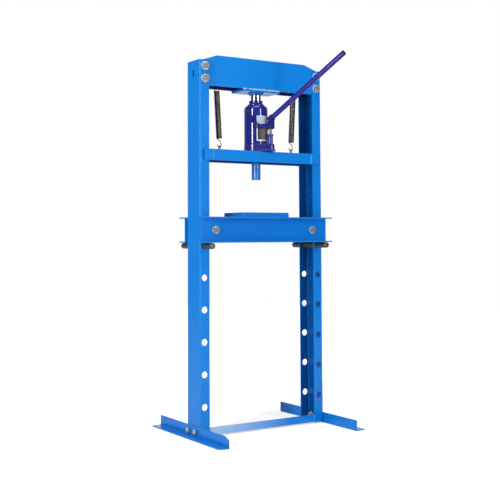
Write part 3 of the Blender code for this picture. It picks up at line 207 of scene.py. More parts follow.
class Nodes:
    """Adds nodes to one tree. Their inputs are given as values or as other nodes' outputs."""

    def __init__(self, tree):
        self.tree = tree

    def fill(self, node, inputs):
        for key, value in inputs.items():
            target = node.inputs[key]
            if isinstance(value, bpy.types.NodeSocket):
                self.tree.links.new(value, target)
            elif isinstance(value, tuple) and len(value) < len(target.default_value):
                target.default_value = (*value, 1)
            else:
                target.default_value = value
        return node

    def node(self, kind, inputs=None, **settings):
        made = self.tree.nodes.new(kind)
        for key, value in settings.items():
            setattr(made, key, value)
        return self.fill(made, inputs or {})

    def add(self, kind, inputs=None, output=0, **settings):
        """A new node, of which only this output is used."""
        return self.node(kind, inputs, **settings).outputs[output]

    def math(self, operation, first, second=0.0, clamp=False):
        return self.add("ShaderNodeMath", {0: first, 1: second}, operation=operation, use_clamp=clamp)

    def times(self, first, second):
        return self.math("MULTIPLY", first, second)

    def ramp(self, source, low, high, to_low=0.0, to_high=1.0):
        return self.add("ShaderNodeMapRange", {"Value": source, "From Min": low, "From Max": high,
                                               "To Min": to_low, "To Max": to_high})

    def mix(self, share, first, second):
        return self.add("ShaderNodeMix", {0: share, 6: first, 7: second}, 2, data_type="RGBA")

    def noise(self, vector, scale, detail=2.0, roughness=0.5):
        return self.add("ShaderNodeTexNoise", {"Vector": vector, "Scale": scale, "Detail": detail,
                                               "Roughness": roughness})

    def place(self):
        return self.add("ShaderNodeTexCoord", output="Object")

    def stretched(self, scale, turn=(0, 0, 0)):
        return self.add("ShaderNodeMapping", {"Vector": self.place(), "Scale": scale, "Rotation": turn})


def group(kind, name, inputs, outputs):
    """A new group with these sockets: its nodes and what it is given."""
    tree = bpy.data.node_groups.new(name, kind)
    for side, sockets in (("INPUT", inputs), ("OUTPUT", outputs)):
        for label, what in sockets.items():
            tree.interface.new_socket(name=label, in_out=side, socket_type=f"NodeSocket{what}")
    nodes = Nodes(tree)
    return nodes, nodes.node("NodeGroupInput").outputs


# Finishes

PAINT_INPUTS = ("Paint", "Thin Paint", "Low Roughness", "High Roughness", "Chipping", "Scratches", "Dust",
                "Peel Scale")
STEEL_INPUTS = ("Bright", "Dull", "Stain", "Stains", "Low Roughness", "High Roughness", "Mottle Scale")
BARE_METAL = (0.30, 0.30, 0.31)
SCRATCHED = (0.32, 0.46, 0.72)
DUST = (0.42, 0.42, 0.42)


def effect(name, inputs, colours, *values):
    """A group for finishes. The first inputs are colours, and so is its first output."""
    kinds = ["Color"] * colours + ["Float"] * (len(inputs) - colours)
    return group("ShaderNodeTree", name, dict(zip(inputs, kinds)),
                 {"Color": "Color", **dict.fromkeys(values, "Float")})


def paint_film():
    """A sprayed paint film: slow changes of tone, orange peel, fine scratches and settled dust."""
    t, given = effect("paint_film", PAINT_INPUTS, 2, "Roughness", "Height", "Bare")
    place = t.place()
    cloudy = t.noise(place, 38.0, 4.0, 0.6)
    tone = t.times(t.ramp(t.noise(place, 7.0, 3.0, 0.55), 0.30, 0.72), 0.5)
    tone = t.math("ADD", tone, t.ramp(cloudy, 0.35, 0.75, 0.0, 0.10))
    colour = t.mix(tone, given["Paint"], given["Thin Paint"])
    # Fine scratches in two directions, where a slow mask lets them show
    lines = [t.ramp(t.noise(t.stretched(scale, turn), 1.0, 2.0, 0.6), 0.70, 0.76)
             for scale, turn in (((9, 9, 700), (0.5, 0.15, 0)), ((620, 8, 14), (0.1, 0.3, 0.7)))]
    where = t.ramp(t.noise(place, 14.0), 0.52, 0.68)
    scratches = t.times(t.times(t.math("MAXIMUM", *lines), where), given["Scratches"])
    colour = t.mix(scratches, colour, SCRATCHED)
    # Chips down to the steel
    limit = t.ramp(given["Chipping"], 0, 1, 0.80, 0.42)
    bare = t.ramp(t.math("SUBTRACT", t.noise(place, 130.0, 5.0, 0.7), limit), 0.0, 0.025)
    colour = t.mix(bare, colour, BARE_METAL)
    # Dust settles on what faces up
    normal = t.add("ShaderNodeNewGeometry", output="Normal")
    up = t.ramp(t.add("ShaderNodeSeparateXYZ", {0: normal}, "Z"), 0.6, 1.0)
    settled = t.times(up, t.ramp(t.noise(place, 60.0, 5.0, 0.65), 0.38, 0.75))
    settled = t.times(settled, given["Dust"])
    rough = t.ramp(cloudy, 0.3, 0.7, given["Low Roughness"], given["High Roughness"])
    rough = t.math("ADD", rough, t.times(settled, 0.5))
    peel = t.times(t.noise(place, given["Peel Scale"], 1.0), 0.5)
    height = t.math("SUBTRACT", t.math("SUBTRACT", peel, bare), t.times(scratches, 0.6))
    t.node("NodeGroupOutput", {"Color": t.mix(settled, colour, DUST), "Height": height, "Bare": bare,
                               "Roughness": t.math("ADD", rough, t.times(scratches, 0.4), True)})
    return t.tree


def steel_skin():
    """Plated or bare steel: mottled tone, smeared tool marks along one direction and small stains."""
    t, given = effect("steel_skin", STEEL_INPUTS, 3, "Roughness", "Height")
    place = t.place()
    mottle = t.noise(place, given["Mottle Scale"], 4.0, 0.6)
    marks = t.noise(t.stretched((30, 30, 1500)), 1.0, 3.0, 0.6)
    colour = t.mix(t.ramp(mottle, 0.35, 0.68), given["Bright"], given["Dull"])
    stains = t.times(t.ramp(t.noise(place, 90.0, 5.0, 0.7), 0.5, 0.66), given["Stains"])
    rough = t.ramp(t.times(t.math("ADD", mottle, marks), 0.5), 0.3, 0.7,
                   given["Low Roughness"], given["High Roughness"])
    t.node("NodeGroupOutput", {"Color": t.mix(stains, colour, given["Stain"]),
                               "Roughness": t.math("ADD", rough, t.times(stains, 0.25), True),
                               "Height": t.math("ADD", marks, t.times(mottle, 0.5))})
    return t.tree


def material(name):
    """A new material, its nodes and its shader."""
    made = bpy.data.materials.new(name)
    made.use_nodes = True
    return made, Nodes(made.node_tree), made.node_tree.nodes["Principled BSDF"]


def relief(t, height, strength, distance):
    return t.add("ShaderNodeBump", {"Strength": strength, "Distance": distance, "Height": height})


def skinned(name, skin, values, bump, depth):
    """A material whose skin comes from a shared effect with this finish's own values."""
    made, t, shader = material(name)
    skin = t.node("ShaderNodeGroup", values, node_tree=skin).outputs
    t.fill(shader, {"Base Color": skin["Color"], "Roughness": skin["Roughness"],
                    "Normal": relief(t, skin["Height"], bump, depth)})
    return made, t, shader, skin


PAINT = paint_film()
STEEL = steel_skin()


def painted(name, paint, thin, low, high, chipping=0.0, scratches=0.15, dust=0.1, peel=420, specular=0.5,
            bump=0.12, coat=0.0):
    values = dict(zip(PAINT_INPUTS, (paint, thin, low, high, chipping, scratches, dust, peel)))
    made, t, shader, skin = skinned(name, PAINT, values, bump, 0.0004)
    t.fill(shader, {"Metallic": skin["Bare"], "Specular IOR Level": specular, "Coat Weight": coat,
                    "Coat Roughness": 0.06})
    return made


def steel(name, bright, dull, stain, stains, low, high, metallic=1.0, mottle=160, bump=0.08):
    values = dict(zip(STEEL_INPUTS, (bright, dull, stain, stains, low, high, mottle)))
    made, t, shader, skin = skinned(name, STEEL, values, bump, 0.0003)
    t.fill(shader, {"Metallic": metallic})
    return made


def overlaid(look, colour, share):
    """Lays this colour over the finish, as far as the share says, which is a function of the nodes."""
    t = Nodes(look.node_tree)
    shader = look.node_tree.nodes["Principled BSDF"]
    skin = shader.inputs["Base Color"].links[0].from_socket
    t.fill(shader, {"Base Color": t.mix(share(t), skin, colour)})


def painted_facet_shade(t):
    """The painted shade on the bolts' hexagons, as their hexagon attribute gives it."""
    return t.times(t.add("ShaderNodeAttribute", output="Fac", attribute_name="hexagon"), 0.95)


def painted_sheen_along_x(t):
    """A painted pale sheen, standing in for the glancing reflection on the bar, that fades out along X."""
    along = t.add("ShaderNodeSeparateXYZ", {0: t.place()}, "X")
    uneven = t.ramp(t.noise(t.place(), 30.0, 4.0, 0.6), 0.3, 0.7, 0.9, 1.0)
    return t.times(t.ramp(along, -0.20, 0.115, 1.0, 0.0), uneven)


def printed(name, inside, border, share_x, share_y, rough, band=0.0):
    """A blank printed label: a field with a border and a dark band, laid out on the piece's own UV map."""
    made, t, shader = material(name)
    spot = t.node("ShaderNodeSeparateXYZ", {0: t.add("ShaderNodeUVMap", uv_map="label")}).outputs
    rims = []
    for axis, share in (("X", share_x), ("Y", share_y)):
        away = t.math("ABSOLUTE", t.math("SUBTRACT", spot[axis], 0.5))
        rims.append(t.ramp(away, 0.5 - share - 0.004, 0.5 - share + 0.004))
    mottle = t.noise(t.place(), 90.0, 4.0, 0.6)
    field = t.mix(t.ramp(mottle, 0.35, 0.7), inside, tuple(c * 0.8 for c in inside))
    field = t.mix(t.ramp(spot["X"], band, band + 0.01, 1.0, 0.0), field, (0.012, 0.014, 0.020))
    t.fill(shader, {"Base Color": t.mix(t.math("MAXIMUM", *rims), field, border),
                    "Roughness": t.ramp(mottle, 0.3, 0.7, rough, rough + 0.12),
                    "Normal": relief(t, t.noise(t.place(), 300.0), 0.05, 0.0002)})
    return made


FRAME_TONES = (0.0030, 0.222, 0.720), (0.0020, 0.192, 0.650), 0.15, 0.24
FRAME_PAINT = painted("frame_paint", *FRAME_TONES, specular=0.30)
TIE_PAINT = painted("tie_bar_paint", *FRAME_TONES, 0.05, specular=0.3)
# Painted sheen: a pale reflection laid over the tie bar's paint, fading out along X
overlaid(TIE_PAINT, (0.42, 0.61, 0.88), painted_sheen_along_x)
# Painted shade: darker paint for faces inside the channels and under and at the ends of the ram beam, where shade falls
CHANNEL_PAINTED_SHADE = painted("frame_paint_inside", (0.0014, 0.096, 0.370), (0.001, 0.082, 0.320), 0.20, 0.32,
                      scratches=0.03, dust=0.0, specular=0.3)
# Painted shade: near-black paint for the head plates' inner and lower faces, where shade falls
HEAD_PAINTED_SHADE = painted("head_paint_inside", (0.001, 0.022, 0.150), (0.001, 0.016, 0.110), 0.22, 0.34,
                      scratches=0.03, dust=0.0, specular=0.3)
FRAME_EDGE = painted("frame_paint_edge", (0.010, 0.235, 0.760), (0.008, 0.200, 0.700), 0.32, 0.42, 0.22,
                     specular=0.3)
# Painted shade: darker paint along the feet's inner fillet, where shade gathers in the crease
CREASE_PAINTED_SHADE = painted("frame_paint_crease", (0.0015, 0.110, 0.420), (0.001, 0.085, 0.340), 0.24, 0.34,
                       specular=0.4)
PLATE_EDGE = painted("plate_paint_edge", (0.012, 0.245, 0.800), (0.010, 0.200, 0.720), 0.30, 0.42, 0.42)
WELD_PAINT = painted("weld_paint", (0.030, 0.300, 0.820), (0.008, 0.200, 0.700), 0.16, 0.26, 0.05, peel=900)
# Painted glints: a near-white colour on the seat welds in place of their highlights
SEAT_WELD_GLINT = painted("seat_weld_paint", (0.60, 0.76, 0.90), (0.060, 0.330, 0.820), 0.10, 0.20, 0.60,
                    peel=900, coat=0.6)
# Painted highlight: a paler blue on the beam's seam welds in place of the light they catch
SEAM_PAINTED_HIGHLIGHT = painted("beam_seam_paint", (0.110, 0.420, 0.900), (0.020, 0.270, 0.780), 0.12, 0.22, 0.30,
                     peel=900, coat=0.4)
RAM_PAINT = painted("ram_paint", (0.0030, 0.195, 0.640), (0.0020, 0.165, 0.560), 0.10, 0.18, coat=0.9)
# Painted shade: the cup under the head is painted darker than the frame for the shade it sits in
CUP_PAINTED_SHADE = painted("cup_paint", (0.0018, 0.140, 0.500), (0.001, 0.105, 0.400), 0.10, 0.20, 0.02, coat=1.0)
JACK_PAINT = painted("jack_paint", (0.0120, 0.0190, 0.235), (0.008, 0.013, 0.180), 0.10, 0.18,
                     scratches=0.08, dust=0.05, bump=0.06, coat=1.0)
JACK_CAST = painted("jack_cast_paint", (0.0080, 0.0110, 0.160), (0.055, 0.050, 0.300), 0.12, 0.26, 0.05,
                    peel=150, bump=0.9, coat=0.7)
FORGED_PAINT = painted("forged_paint", (0.0110, 0.0140, 0.175), (0.007, 0.009, 0.115), 0.36, 0.48, 0.04,
                       peel=260, specular=0.16, bump=0.3)
FORGED_EDGE = painted("forged_paint_edge", (0.030, 0.036, 0.260), (0.018, 0.022, 0.190), 0.28, 0.40, 0.20,
                      dust=0.05, specular=0.3)
HANDLE_PAINT = painted("handle_paint", (0.0170, 0.0150, 0.250), (0.013, 0.011, 0.190), 0.14, 0.22,
                       scratches=0.06, dust=0.02, specular=0.35, bump=0.05)
# Painted shade: near black for the handle's bore and a band round its open end
HANDLE_PAINTED_SHADE = painted("handle_bore", (0.004, 0.004, 0.012), (0.008, 0.007, 0.016), 0.55, 0.75,
                      scratches=0.0, dust=0.0, peel=700)
RUBBER = painted("plug_rubber", (0.020, 0.020, 0.022), (0.030, 0.030, 0.032), 0.60, 0.75,
                 scratches=0.0, dust=0.3, peel=700)
ZINC = steel("zinc_plate", (0.94, 0.95, 0.96), (0.76, 0.78, 0.80), (0.42, 0.38, 0.32), 0.25, 0.24, 0.42, 0.12)
# Painted shade: dark laid over the zinc on the bolts' hexagons
overlaid(ZINC, (0.05, 0.048, 0.046), painted_facet_shade)
CHROME = steel("chrome_plate", (0.82, 0.82, 0.83), (0.74, 0.74, 0.75), (0.35, 0.28, 0.20), 0.15, 0.06, 0.14,
               mottle=40, bump=0.02)
SPRING_STEEL = steel("spring_steel", (0.270, 0.250, 0.230), (0.120, 0.110, 0.100), (0.13, 0.08, 0.05),
                     0.35, 0.20, 0.34, 0.9)
PIN_STEEL = steel("pin_steel", (0.170, 0.145, 0.125), (0.080, 0.066, 0.058), (0.15, 0.085, 0.055),
                  0.5, 0.30, 0.48, 0.7)
PIVOT_STEEL = steel("pivot_steel", (0.110, 0.105, 0.125), (0.050, 0.048, 0.060), (0.09, 0.07, 0.06),
                    0.3, 0.28, 0.42, 0.7)
PLUNGER_STEEL = steel("plunger_steel", (0.34, 0.31, 0.31), (0.20, 0.18, 0.18), (0.14, 0.10, 0.08),
                      0.3, 0.18, 0.30)
CYLINDER_STEEL = steel("cylinder_steel", (0.40, 0.40, 0.41), (0.28, 0.28, 0.29), (0.20, 0.14, 0.10),
                       0.3, 0.3, 0.45)
PALE_LABEL = printed("pale_label", (0.46, 0.60, 0.70), (0.56, 0.67, 0.76), 0.02, 0.06, 0.30)
DARK_LABEL = printed("dark_label", (0.200, 0.155, 0.160), (0.80, 0.82, 0.86), 0.045, 0.085, 0.28, 0.24)

# Skins: the record's slot, the finish, and those of the rounded edges and of chosen faces where they differ
BLUE = "frame_paint", FRAME_PAINT, FRAME_EDGE
FORGED = "jack_paint", FORGED_PAINT, FORGED_EDGE
JACK_BLUE = "jack_paint", JACK_PAINT
PIVOT = "dark_steel", PIVOT_STEEL


# Meshes

def stand(name, data, *looks):
    """An object of this mesh or other data, with these finishes in its slots."""
    for look in looks:
        data.materials.append(look)
    obj = bpy.data.objects.new(name, data)
    bpy.context.scene.collection.objects.link(obj)
    return obj


def poured(name, shape, mesh=None):
    """The bmesh's shape as a mesh. The bmesh goes."""
    mesh = mesh or bpy.data.meshes.new(name)
    shape.to_mesh(mesh)
    shape.free()
    return mesh


def evaluated(obj):
    """The mesh that the object has after its modifiers. The object goes."""
    bpy.context.view_layer.update()
    graph = bpy.context.evaluated_depsgraph_get()
    mesh = bpy.data.meshes.new_from_object(obj.evaluated_get(graph))
    bpy.data.objects.remove(obj, do_unlink=True)
    return mesh


def tidy(mesh, dissolve=False, outward=True):
    """Merges doubled points, joins flat faces where asked and turns the faces outward."""
    shape = bmesh.new()
    shape.from_mesh(mesh)
    bmesh.ops.remove_doubles(shape, verts=shape.verts, dist=0.000002)
    if dissolve:
        bmesh.ops.dissolve_limit(shape, angle_limit=math.radians(0.4), verts=shape.verts, edges=shape.edges)
    if outward:
        bmesh.ops.recalc_face_normals(shape, faces=shape.faces)
    return poured(None, shape, mesh)


def arc_corners(corners, steps=8):
    """The outline through (x, y, radius) corners, with each radius turned in steps."""
    points = []
    for index, (x, y, radius) in enumerate(corners):
        here = Vector((x, y))
        if not radius:
            points.append(here)
            continue
        before = (Vector(corners[index - 1][:2]) - here).normalized()
        after = (Vector(corners[(index + 1) % len(corners)][:2]) - here).normalized()
        half = before.angle(after) / 2
        middle = here + (before + after).normalized() * (radius / math.sin(half))
        first = here + before * (radius / math.tan(half)) - middle
        sweep = first.angle_signed(here + after * (radius / math.tan(half)) - middle)
        points += [middle + Matrix.Rotation(-sweep * step / steps, 2) @ first for step in range(steps + 1)]
    return points


def arc(radius, start, sweep, steps, x=0.0, y=0.0):
    """Points on a circle, both ends of the sweep among them."""
    return [(x + radius * math.cos(a), y + radius * math.sin(a))
            for a in (start + sweep * i / steps for i in range(steps + 1))]


def ring(x, y, diameter, sides=36):
    return arc(diameter / 2, 0, math.tau, sides, x, y)[:-1]


def quarter(wide, high, x=0.0, z=0.0, steps=6):
    """A quarter of an ellipse, from its top round to its side."""
    return [(x + wide * math.sin(a), z + high * math.cos(a))
            for a in (math.pi / 2 * i / steps for i in range(steps + 1))]


def both_ends(profile):
    """The profile of a piece's upper half, and its mirror image below."""
    return profile + [(radius, -z) for radius, z in reversed(profile)]


def obround(start, end, width, steps=16):
    """A flat link's outline, or a slot's: straight sides and a half circle round each end."""
    start, end = Vector(start), Vector(end)
    run = (end - start).normalized()
    out = Vector((-run.y, run.x)) * (width / 2)
    return [centre + Matrix.Rotation(math.pi * step / steps, 2) @ first
            for centre, first in ((start, out), (end, -out)) for step in range(steps + 1)]


def channel(flange, low, high, wall, bend):
    """A formed channel's corners: its web from low to high, its flanges along the first axis."""
    inner = bend - wall
    return [(flange, low, 0), (flange, low + wall, 0), (wall, low + wall, inner), (wall, high - wall, inner),
            (flange, high - wall, 0), (flange, high, 0), (0, high, bend), (0, low, bend)]


def angle(reach, height, wall, fillet):
    """A rolled angle's outline, with rounded toes."""
    return arc_corners([(0, 0, 0.0006), (reach, 0, 0.0006), (reach, wall, wall / 2), (wall, wall, fillet),
                        (wall, height, wall / 2), (0, height, 0.0006)], 6)


def lay(x_axis, y_axis, at=(0, 0, 0)):
    """The placing whose X and Y run along these directions, with its origin at this point."""
    turn = Matrix((x_axis, y_axis, x_axis.cross(y_axis))).transposed()
    return Matrix.Translation(at) @ turn.to_4x4()


def shift(x=0, y=0, z=0):
    return Matrix.Translation((x, y, z))


def prism(name, loops, thickness, place=Matrix()):
    """The flat outline, less the holes after it, with half of the thickness to each side."""
    curve = bpy.data.curves.new(name, "CURVE")
    curve.dimensions = "2D"
    curve.fill_mode = "BOTH"
    curve.extrude = thickness / 2
    for loop in loops:
        spline = curve.splines.new("POLY")
        spline.points.add(len(loop) - 1)
        for point, (x, y) in zip(spline.points, loop):
            point.co = (x, y, 0, 1)
        spline.use_cyclic_u = True
    mesh = evaluated(stand(name, curve))
    mesh.transform(place)
    return stand(name, tidy(mesh))


def turned(name, profile, place=Matrix(), sides=64):
    """The (radius, height) profile turned about Z, closed into a ring where it doesn't meet the axis."""
    shape = bmesh.new()
    rows = [[shape.verts.new((x, y, height)) for x, y in ring(0, 0, 2 * radius, sides if radius else 1)]
            for radius, height in profile]
    pairs = list(zip(rows, rows[1:]))
    if profile[0][0] and profile[-1][0]:
        pairs.append((rows[-1], rows[0]))
    for upper, lower in pairs:
        for i in range(sides):
            j = (i + 1) % sides
            corners = list(dict.fromkeys((upper[i % len(upper)], upper[j % len(upper)],
                                          lower[j % len(lower)], lower[i % len(lower)])))
            if len(corners) > 2:
                shape.faces.new(corners)
    bmesh.ops.recalc_face_normals(shape, faces=shape.faces)
    mesh = poured(name, shape)
    mesh.transform(place)
    return stand(name, mesh)


def bar(name, diameter, start, end, sides=36):
    """A round bar between two points."""
    start = Vector(start)
    run = Vector(end) - start
    place = Matrix.Translation(start) @ run.to_track_quat("Z", "Y").to_matrix().to_4x4()
    radius = diameter / 2
    return turned(name, [(0, run.length), (radius, run.length), (radius, 0), (0, 0)], place, sides)


def drill(diameter, start, end, sides=32):
    """A round cutter."""
    return bar("drill", diameter, start, end, sides)


def box(low, high):
    """A straight-sided cutter."""
    low, high = Vector(low), Vector(high)
    shape = bmesh.new()
    bmesh.ops.create_cube(shape, size=1, matrix=Matrix.Translation((low + high) / 2)
                          @ Matrix.Diagonal((*(high - low), 1)))
    return stand("box", poured("box", shape))


def boolean(obj, operation, *others):
    """Cuts, joins or crosses the object with the others, which go."""
    for other in others:
        step = obj.modifiers.new(other.name, "BOOLEAN")
        step.operation = operation
        step.solver = "EXACT"
        step.object = other
    name = obj.name
    mesh = evaluated(obj)
    for other in others:
        bpy.data.objects.remove(other, do_unlink=True)
    return stand(name, tidy(mesh))


def cut(obj, *others):
    return boolean(obj, "DIFFERENCE", *others)


def soft_edges(obj, width, segments=2):
    """Rounds the sharp edges. The rounds take the second finish."""
    tidy(obj.data, dissolve=True)
    while len(obj.data.materials) < 2:
        obj.data.materials.append(None)
    name = obj.name
    step = obj.modifiers.new("round", "BEVEL")
    step.width = width
    step.segments = segments
    step.limit_method = "ANGLE"
    step.angle_limit = math.radians(35)
    step.material = 1
    return stand(name, evaluated(obj))


def painted_shade_faces(obj, choose):
    """Gives the third finish, a painted shade, to the flat faces that this choice picks by their middle and normal."""
    for face in obj.data.polygons:
        if face.material_index == 0 and choose(face.center, face.normal):
            face.material_index = 2


def finished(obj, body, skin, *nodes, place=MIDDLE, smooth=40):
    """Places the piece with its skin and shading on its body. It replaces these nodes, or its namesake."""
    name = obj.name
    mesh = obj.data
    mesh.transform(place)
    mesh.shade_smooth()
    mesh.set_sharp_from_angle(angle=math.radians(smooth))
    slot, *looks = skin
    if looks:
        parts = [min(face.material_index, len(looks) - 1) for face in mesh.polygons]
        mesh.materials.clear()
        for look in looks:
            mesh.materials.append(look)
        mesh.polygons.foreach_set("material_index", parts)
    weigh = obj.modifiers.new("normals", "WEIGHTED_NORMAL")
    weigh.keep_sharp = True
    weigh.weight = 90
    piece = stand(name, evaluated(obj))
    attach(piece, body)
    namesake = name.split(".")[0]
    if nodes or namesake in NODES:
        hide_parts(*(nodes or [namesake]))


# Geometry trees

def grower(name, **inputs):
    """A geometry tree with these inputs: its nodes and what it is given."""
    return group("GeometryNodeTree", name, {"Geometry": "Geometry", **inputs, "Finish": "Material"},
                 {"Geometry": "Geometry"})


def grown_tree(t, given, geometry):
    """The tree, its end made: the instances realized and the finish set."""
    real = t.add("GeometryNodeRealizeInstances", {0: geometry})
    t.node("NodeGroupOutput", {0: t.add("GeometryNodeSetMaterial", {"Geometry": real, "Material": given["Finish"]})})
    return t.tree


def wire_tree():
    """A round wire along a path of edges."""
    t, given = grower("wire_along_path", Diameter="Float", Sides="Int")
    path = t.add("GeometryNodeMeshToCurve", {"Mesh": given["Geometry"]})
    circle = t.add("GeometryNodeCurvePrimitiveCircle",
                   {"Resolution": given["Sides"], "Radius": t.times(given["Diameter"], 0.5)}, "Curve")
    return grown_tree(t, given, t.add("GeometryNodeCurveToMesh", {"Curve": path, "Profile Curve": circle,
                                                                  "Fill Caps": True}))


def bead_tree():
    """A weld bead: overlapping flat ripples along a path of edges."""
    t, given = grower("weld_bead", Pitch="Float", Width="Float", Height="Float", Seed="Int")
    path = t.add("GeometryNodeMeshToCurve", {"Mesh": given["Geometry"]})
    even = t.add("GeometryNodeResampleCurve", {"Curve": path, "Length": given["Pitch"]}, mode="LENGTH")
    ball = t.add("GeometryNodeMeshUVSphere", {"Segments": 12, "Rings": 6, "Radius": 0.5}, "Mesh")
    turn = t.add("FunctionNodeAlignRotationToVector", {"Vector": t.add("GeometryNodeInputTangent")}, axis="X")
    uneven = t.add("FunctionNodeRandomValue", {2: 0.88, 3: 1.12, "Seed": given["Seed"]}, 1, data_type="FLOAT")
    size = t.add("ShaderNodeCombineXYZ", {"X": t.times(given["Pitch"], 2.4), "Y": given["Width"],
                                          "Z": given["Height"]})
    scale = t.add("ShaderNodeVectorMath", {0: size, "Scale": uneven}, operation="SCALE")
    return grown_tree(t, given, t.add("GeometryNodeInstanceOnPoints", {"Points": even, "Instance": ball,
                                                                       "Rotation": turn, "Scale": scale}))


def scatter_tree():
    """One fastener on every point, turned as the point's own attribute says."""
    t, given = grower("fasteners_on_points", Fastener="Object")
    shape = t.add("GeometryNodeObjectInfo", {"Object": given["Fastener"]}, "Geometry")
    turn = t.add("GeometryNodeInputNamedAttribute", {"Name": "turn"}, data_type="FLOAT_VECTOR")
    spin = t.add("FunctionNodeEulerToRotation", {0: turn})
    return grown_tree(t, given, t.add("GeometryNodeInstanceOnPoints", {"Points": given["Geometry"],
                                                                       "Instance": shape, "Rotation": spin}))


WIRE = wire_tree()
BEAD = bead_tree()
SCATTER = scatter_tree()


def grown(name, tree, points, values, edges=(), turns=None):
    """What the tree makes on these points, as a plain mesh in an object."""
    mesh = bpy.data.meshes.new(name)
    mesh.from_pydata([tuple(p) for p in points], edges, [])
    if turns:
        attribute = mesh.attributes.new("turn", "FLOAT_VECTOR", "POINT")
        attribute.data.foreach_set("vector", np.array(turns, np.float32).ravel())
    obj = stand(name, mesh)
    step = obj.modifiers.new("tree", "NODES")
    step.node_group = tree
    names = {item.name: item.identifier for item in tree.interface.items_tree if item.in_out == "INPUT"}
    for key, value in values.items():
        step[names[key]] = value
    return stand(name, tidy(evaluated(obj), outward=False))


def path_edges(points, loop):
    edges = [(i, i + 1) for i in range(len(points) - 1)]
    return edges + [(len(points) - 1, 0)] if loop else edges


def wire(name, points, diameter, look, sides, loop=False):
    values = {"Diameter": diameter, "Sides": sides, "Finish": look}
    obj = grown(name, WIRE, points, values, path_edges(points, loop))
    tidy(obj.data)
    return obj


def weld(name, points, width, height, body, place=MIDDLE, pitch=0.0015, seed=1, loop=False, look=WELD_PAINT):
    values = {"Pitch": pitch, "Width": width, "Height": height, "Seed": seed, "Finish": look}
    obj = grown(name, BEAD, points, values, path_edges(points, loop))
    finished(obj, body, ("frame_paint",), place=place, smooth=80)


# Frame pieces

def refined(name, body, width, skin):
    """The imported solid's own shape with its edges rounded."""
    mesh = tidy(NODES[name].data.copy())
    mesh.materials.clear()
    finished(soft_edges(stand(name, mesh), width), body, skin, place=Matrix())


def channel_post(label, side):
    """A post: a formed channel with punched holes. Local +X runs inward from its outer face."""
    half = POST_DEPTH / 2
    length = POST_TOP - POST_FOOT
    outline = arc_corners(channel(POST_FLANGE, -half, half, POST_WALL, POST_BEND))
    obj = prism(f"{label}_post", [outline], length, shift(z=POST_FOOT + length / 2))
    holes = [(PIN_HOLE_INSET, PIN_HOLE_FIRST + PIN_HOLE_PITCH * i, PIN_HOLE) for i in range(PIN_HOLE_COUNT)]
    holes += [(FRAME_WIDTH / 2 - HEAD_BOLT_X, z, HEAD_HOLE) for z in HEAD_BOLT_Z]
    cutters = [drill(width, (x, -half - OVER, z), (x, half + OVER, z), 40) for x, z, width in holes]
    cutters += [drill(FOOT_HOLE, (-OVER, y, FOOT_BOLT_Z), (POST_WALL + OVER, y, FOOT_BOLT_Z), 24)
                for y in (-FOOT_BOLT_Y, FOOT_BOLT_Y)]
    slot = obround((0, WEB_SLOT_Z - WEB_SLOT_HALF), (0, WEB_SLOT_Z + WEB_SLOT_HALF), WEB_SLOT_WIDTH)
    cutters.append(prism("slot", [slot], 4 * POST_WALL, lay(Y_AXIS, Z_AXIS)))
    obj = soft_edges(cut(obj, *cutters), 0.0005)
    # The faces inside the channel take the painted shade
    painted_shade_faces(obj, lambda spot, way: abs(spot.y) < half - POST_WALL + GAP and spot.x > POST_WALL - GAP
               and (abs(way.y) > 0.99 or way.x > 0.99))
    turn = shift(side * FRAME_WIDTH / 2) @ Matrix.Rotation(math.pi if side > 0 else 0, 4, "Z")
    finished(obj, "frame", (*BLUE, CHANNEL_PAINTED_SHADE), place=MIDDLE @ turn)


def head():
    """The two head plates, the seat plate with its weld, and the cup under it."""
    shoulder = HEAD_TOP - HEAD_CORNER_DROP
    outline = [(-HEAD_END, HEAD_BOTTOM), (HEAD_END, HEAD_BOTTOM), (HEAD_END, shoulder),
               (HEAD_END - HEAD_CORNER_LENGTH, HEAD_TOP), (HEAD_CORNER_LENGTH - HEAD_END, HEAD_TOP),
               (-HEAD_END, shoulder)]
    holes = [ring(side * HEAD_BOLT_X, z, HEAD_HOLE) for label, side in SIDES for z in HEAD_BOLT_Z]
    for label, side in FACES:
        place = lay(X_AXIS, Z_AXIS, (0, side * (HEAD_FACE - HEAD_WALL / 2), 0))
        obj = soft_edges(prism(f"head_plate_{label}", [outline, *holes], HEAD_WALL, place), 0.0006)
        # The plates' inner faces and lower faces take the painted shade
        painted_shade_faces(obj, lambda spot, way: way.y * side < -0.9 or way.z < -0.9)
        finished(obj, "frame", (*BLUE, HEAD_PAINTED_SHADE))
        seam = [(x, side * (HEAD_FACE + GAP), HEAD_BOTTOM) for x in (-0.074, 0.074)]
        # The seat welds carry painted glints
        weld(f"seat_weld_{label}", seam, 0.0034, 0.0042, "frame", pitch=0.0022, seed=3 + side, look=SEAT_WELD_GLINT)
    refined("jack_seat_plate", "frame", 0.0007, BLUE)
    bore = PISTON / 2 + GAP
    profile = [(0, CUP_HEIGHT), (0.0280, CUP_HEIGHT), (0.0285, CUP_HEIGHT - 0.0005), (0.0285, 0.0058),
               (0.0281, 0.0050), (0.0222, 0.0004), (0.0214, 0), (bore + 0.0006, 0), (bore, 0.0006),
               (bore, 0.004), (0, 0.004)]
    # The cup takes the darker painted shade
    finished(turned("seat_cup", profile, shift(z=CUP_BOTTOM), 72), "frame", ("frame_paint", CUP_PAINTED_SHADE), smooth=30)


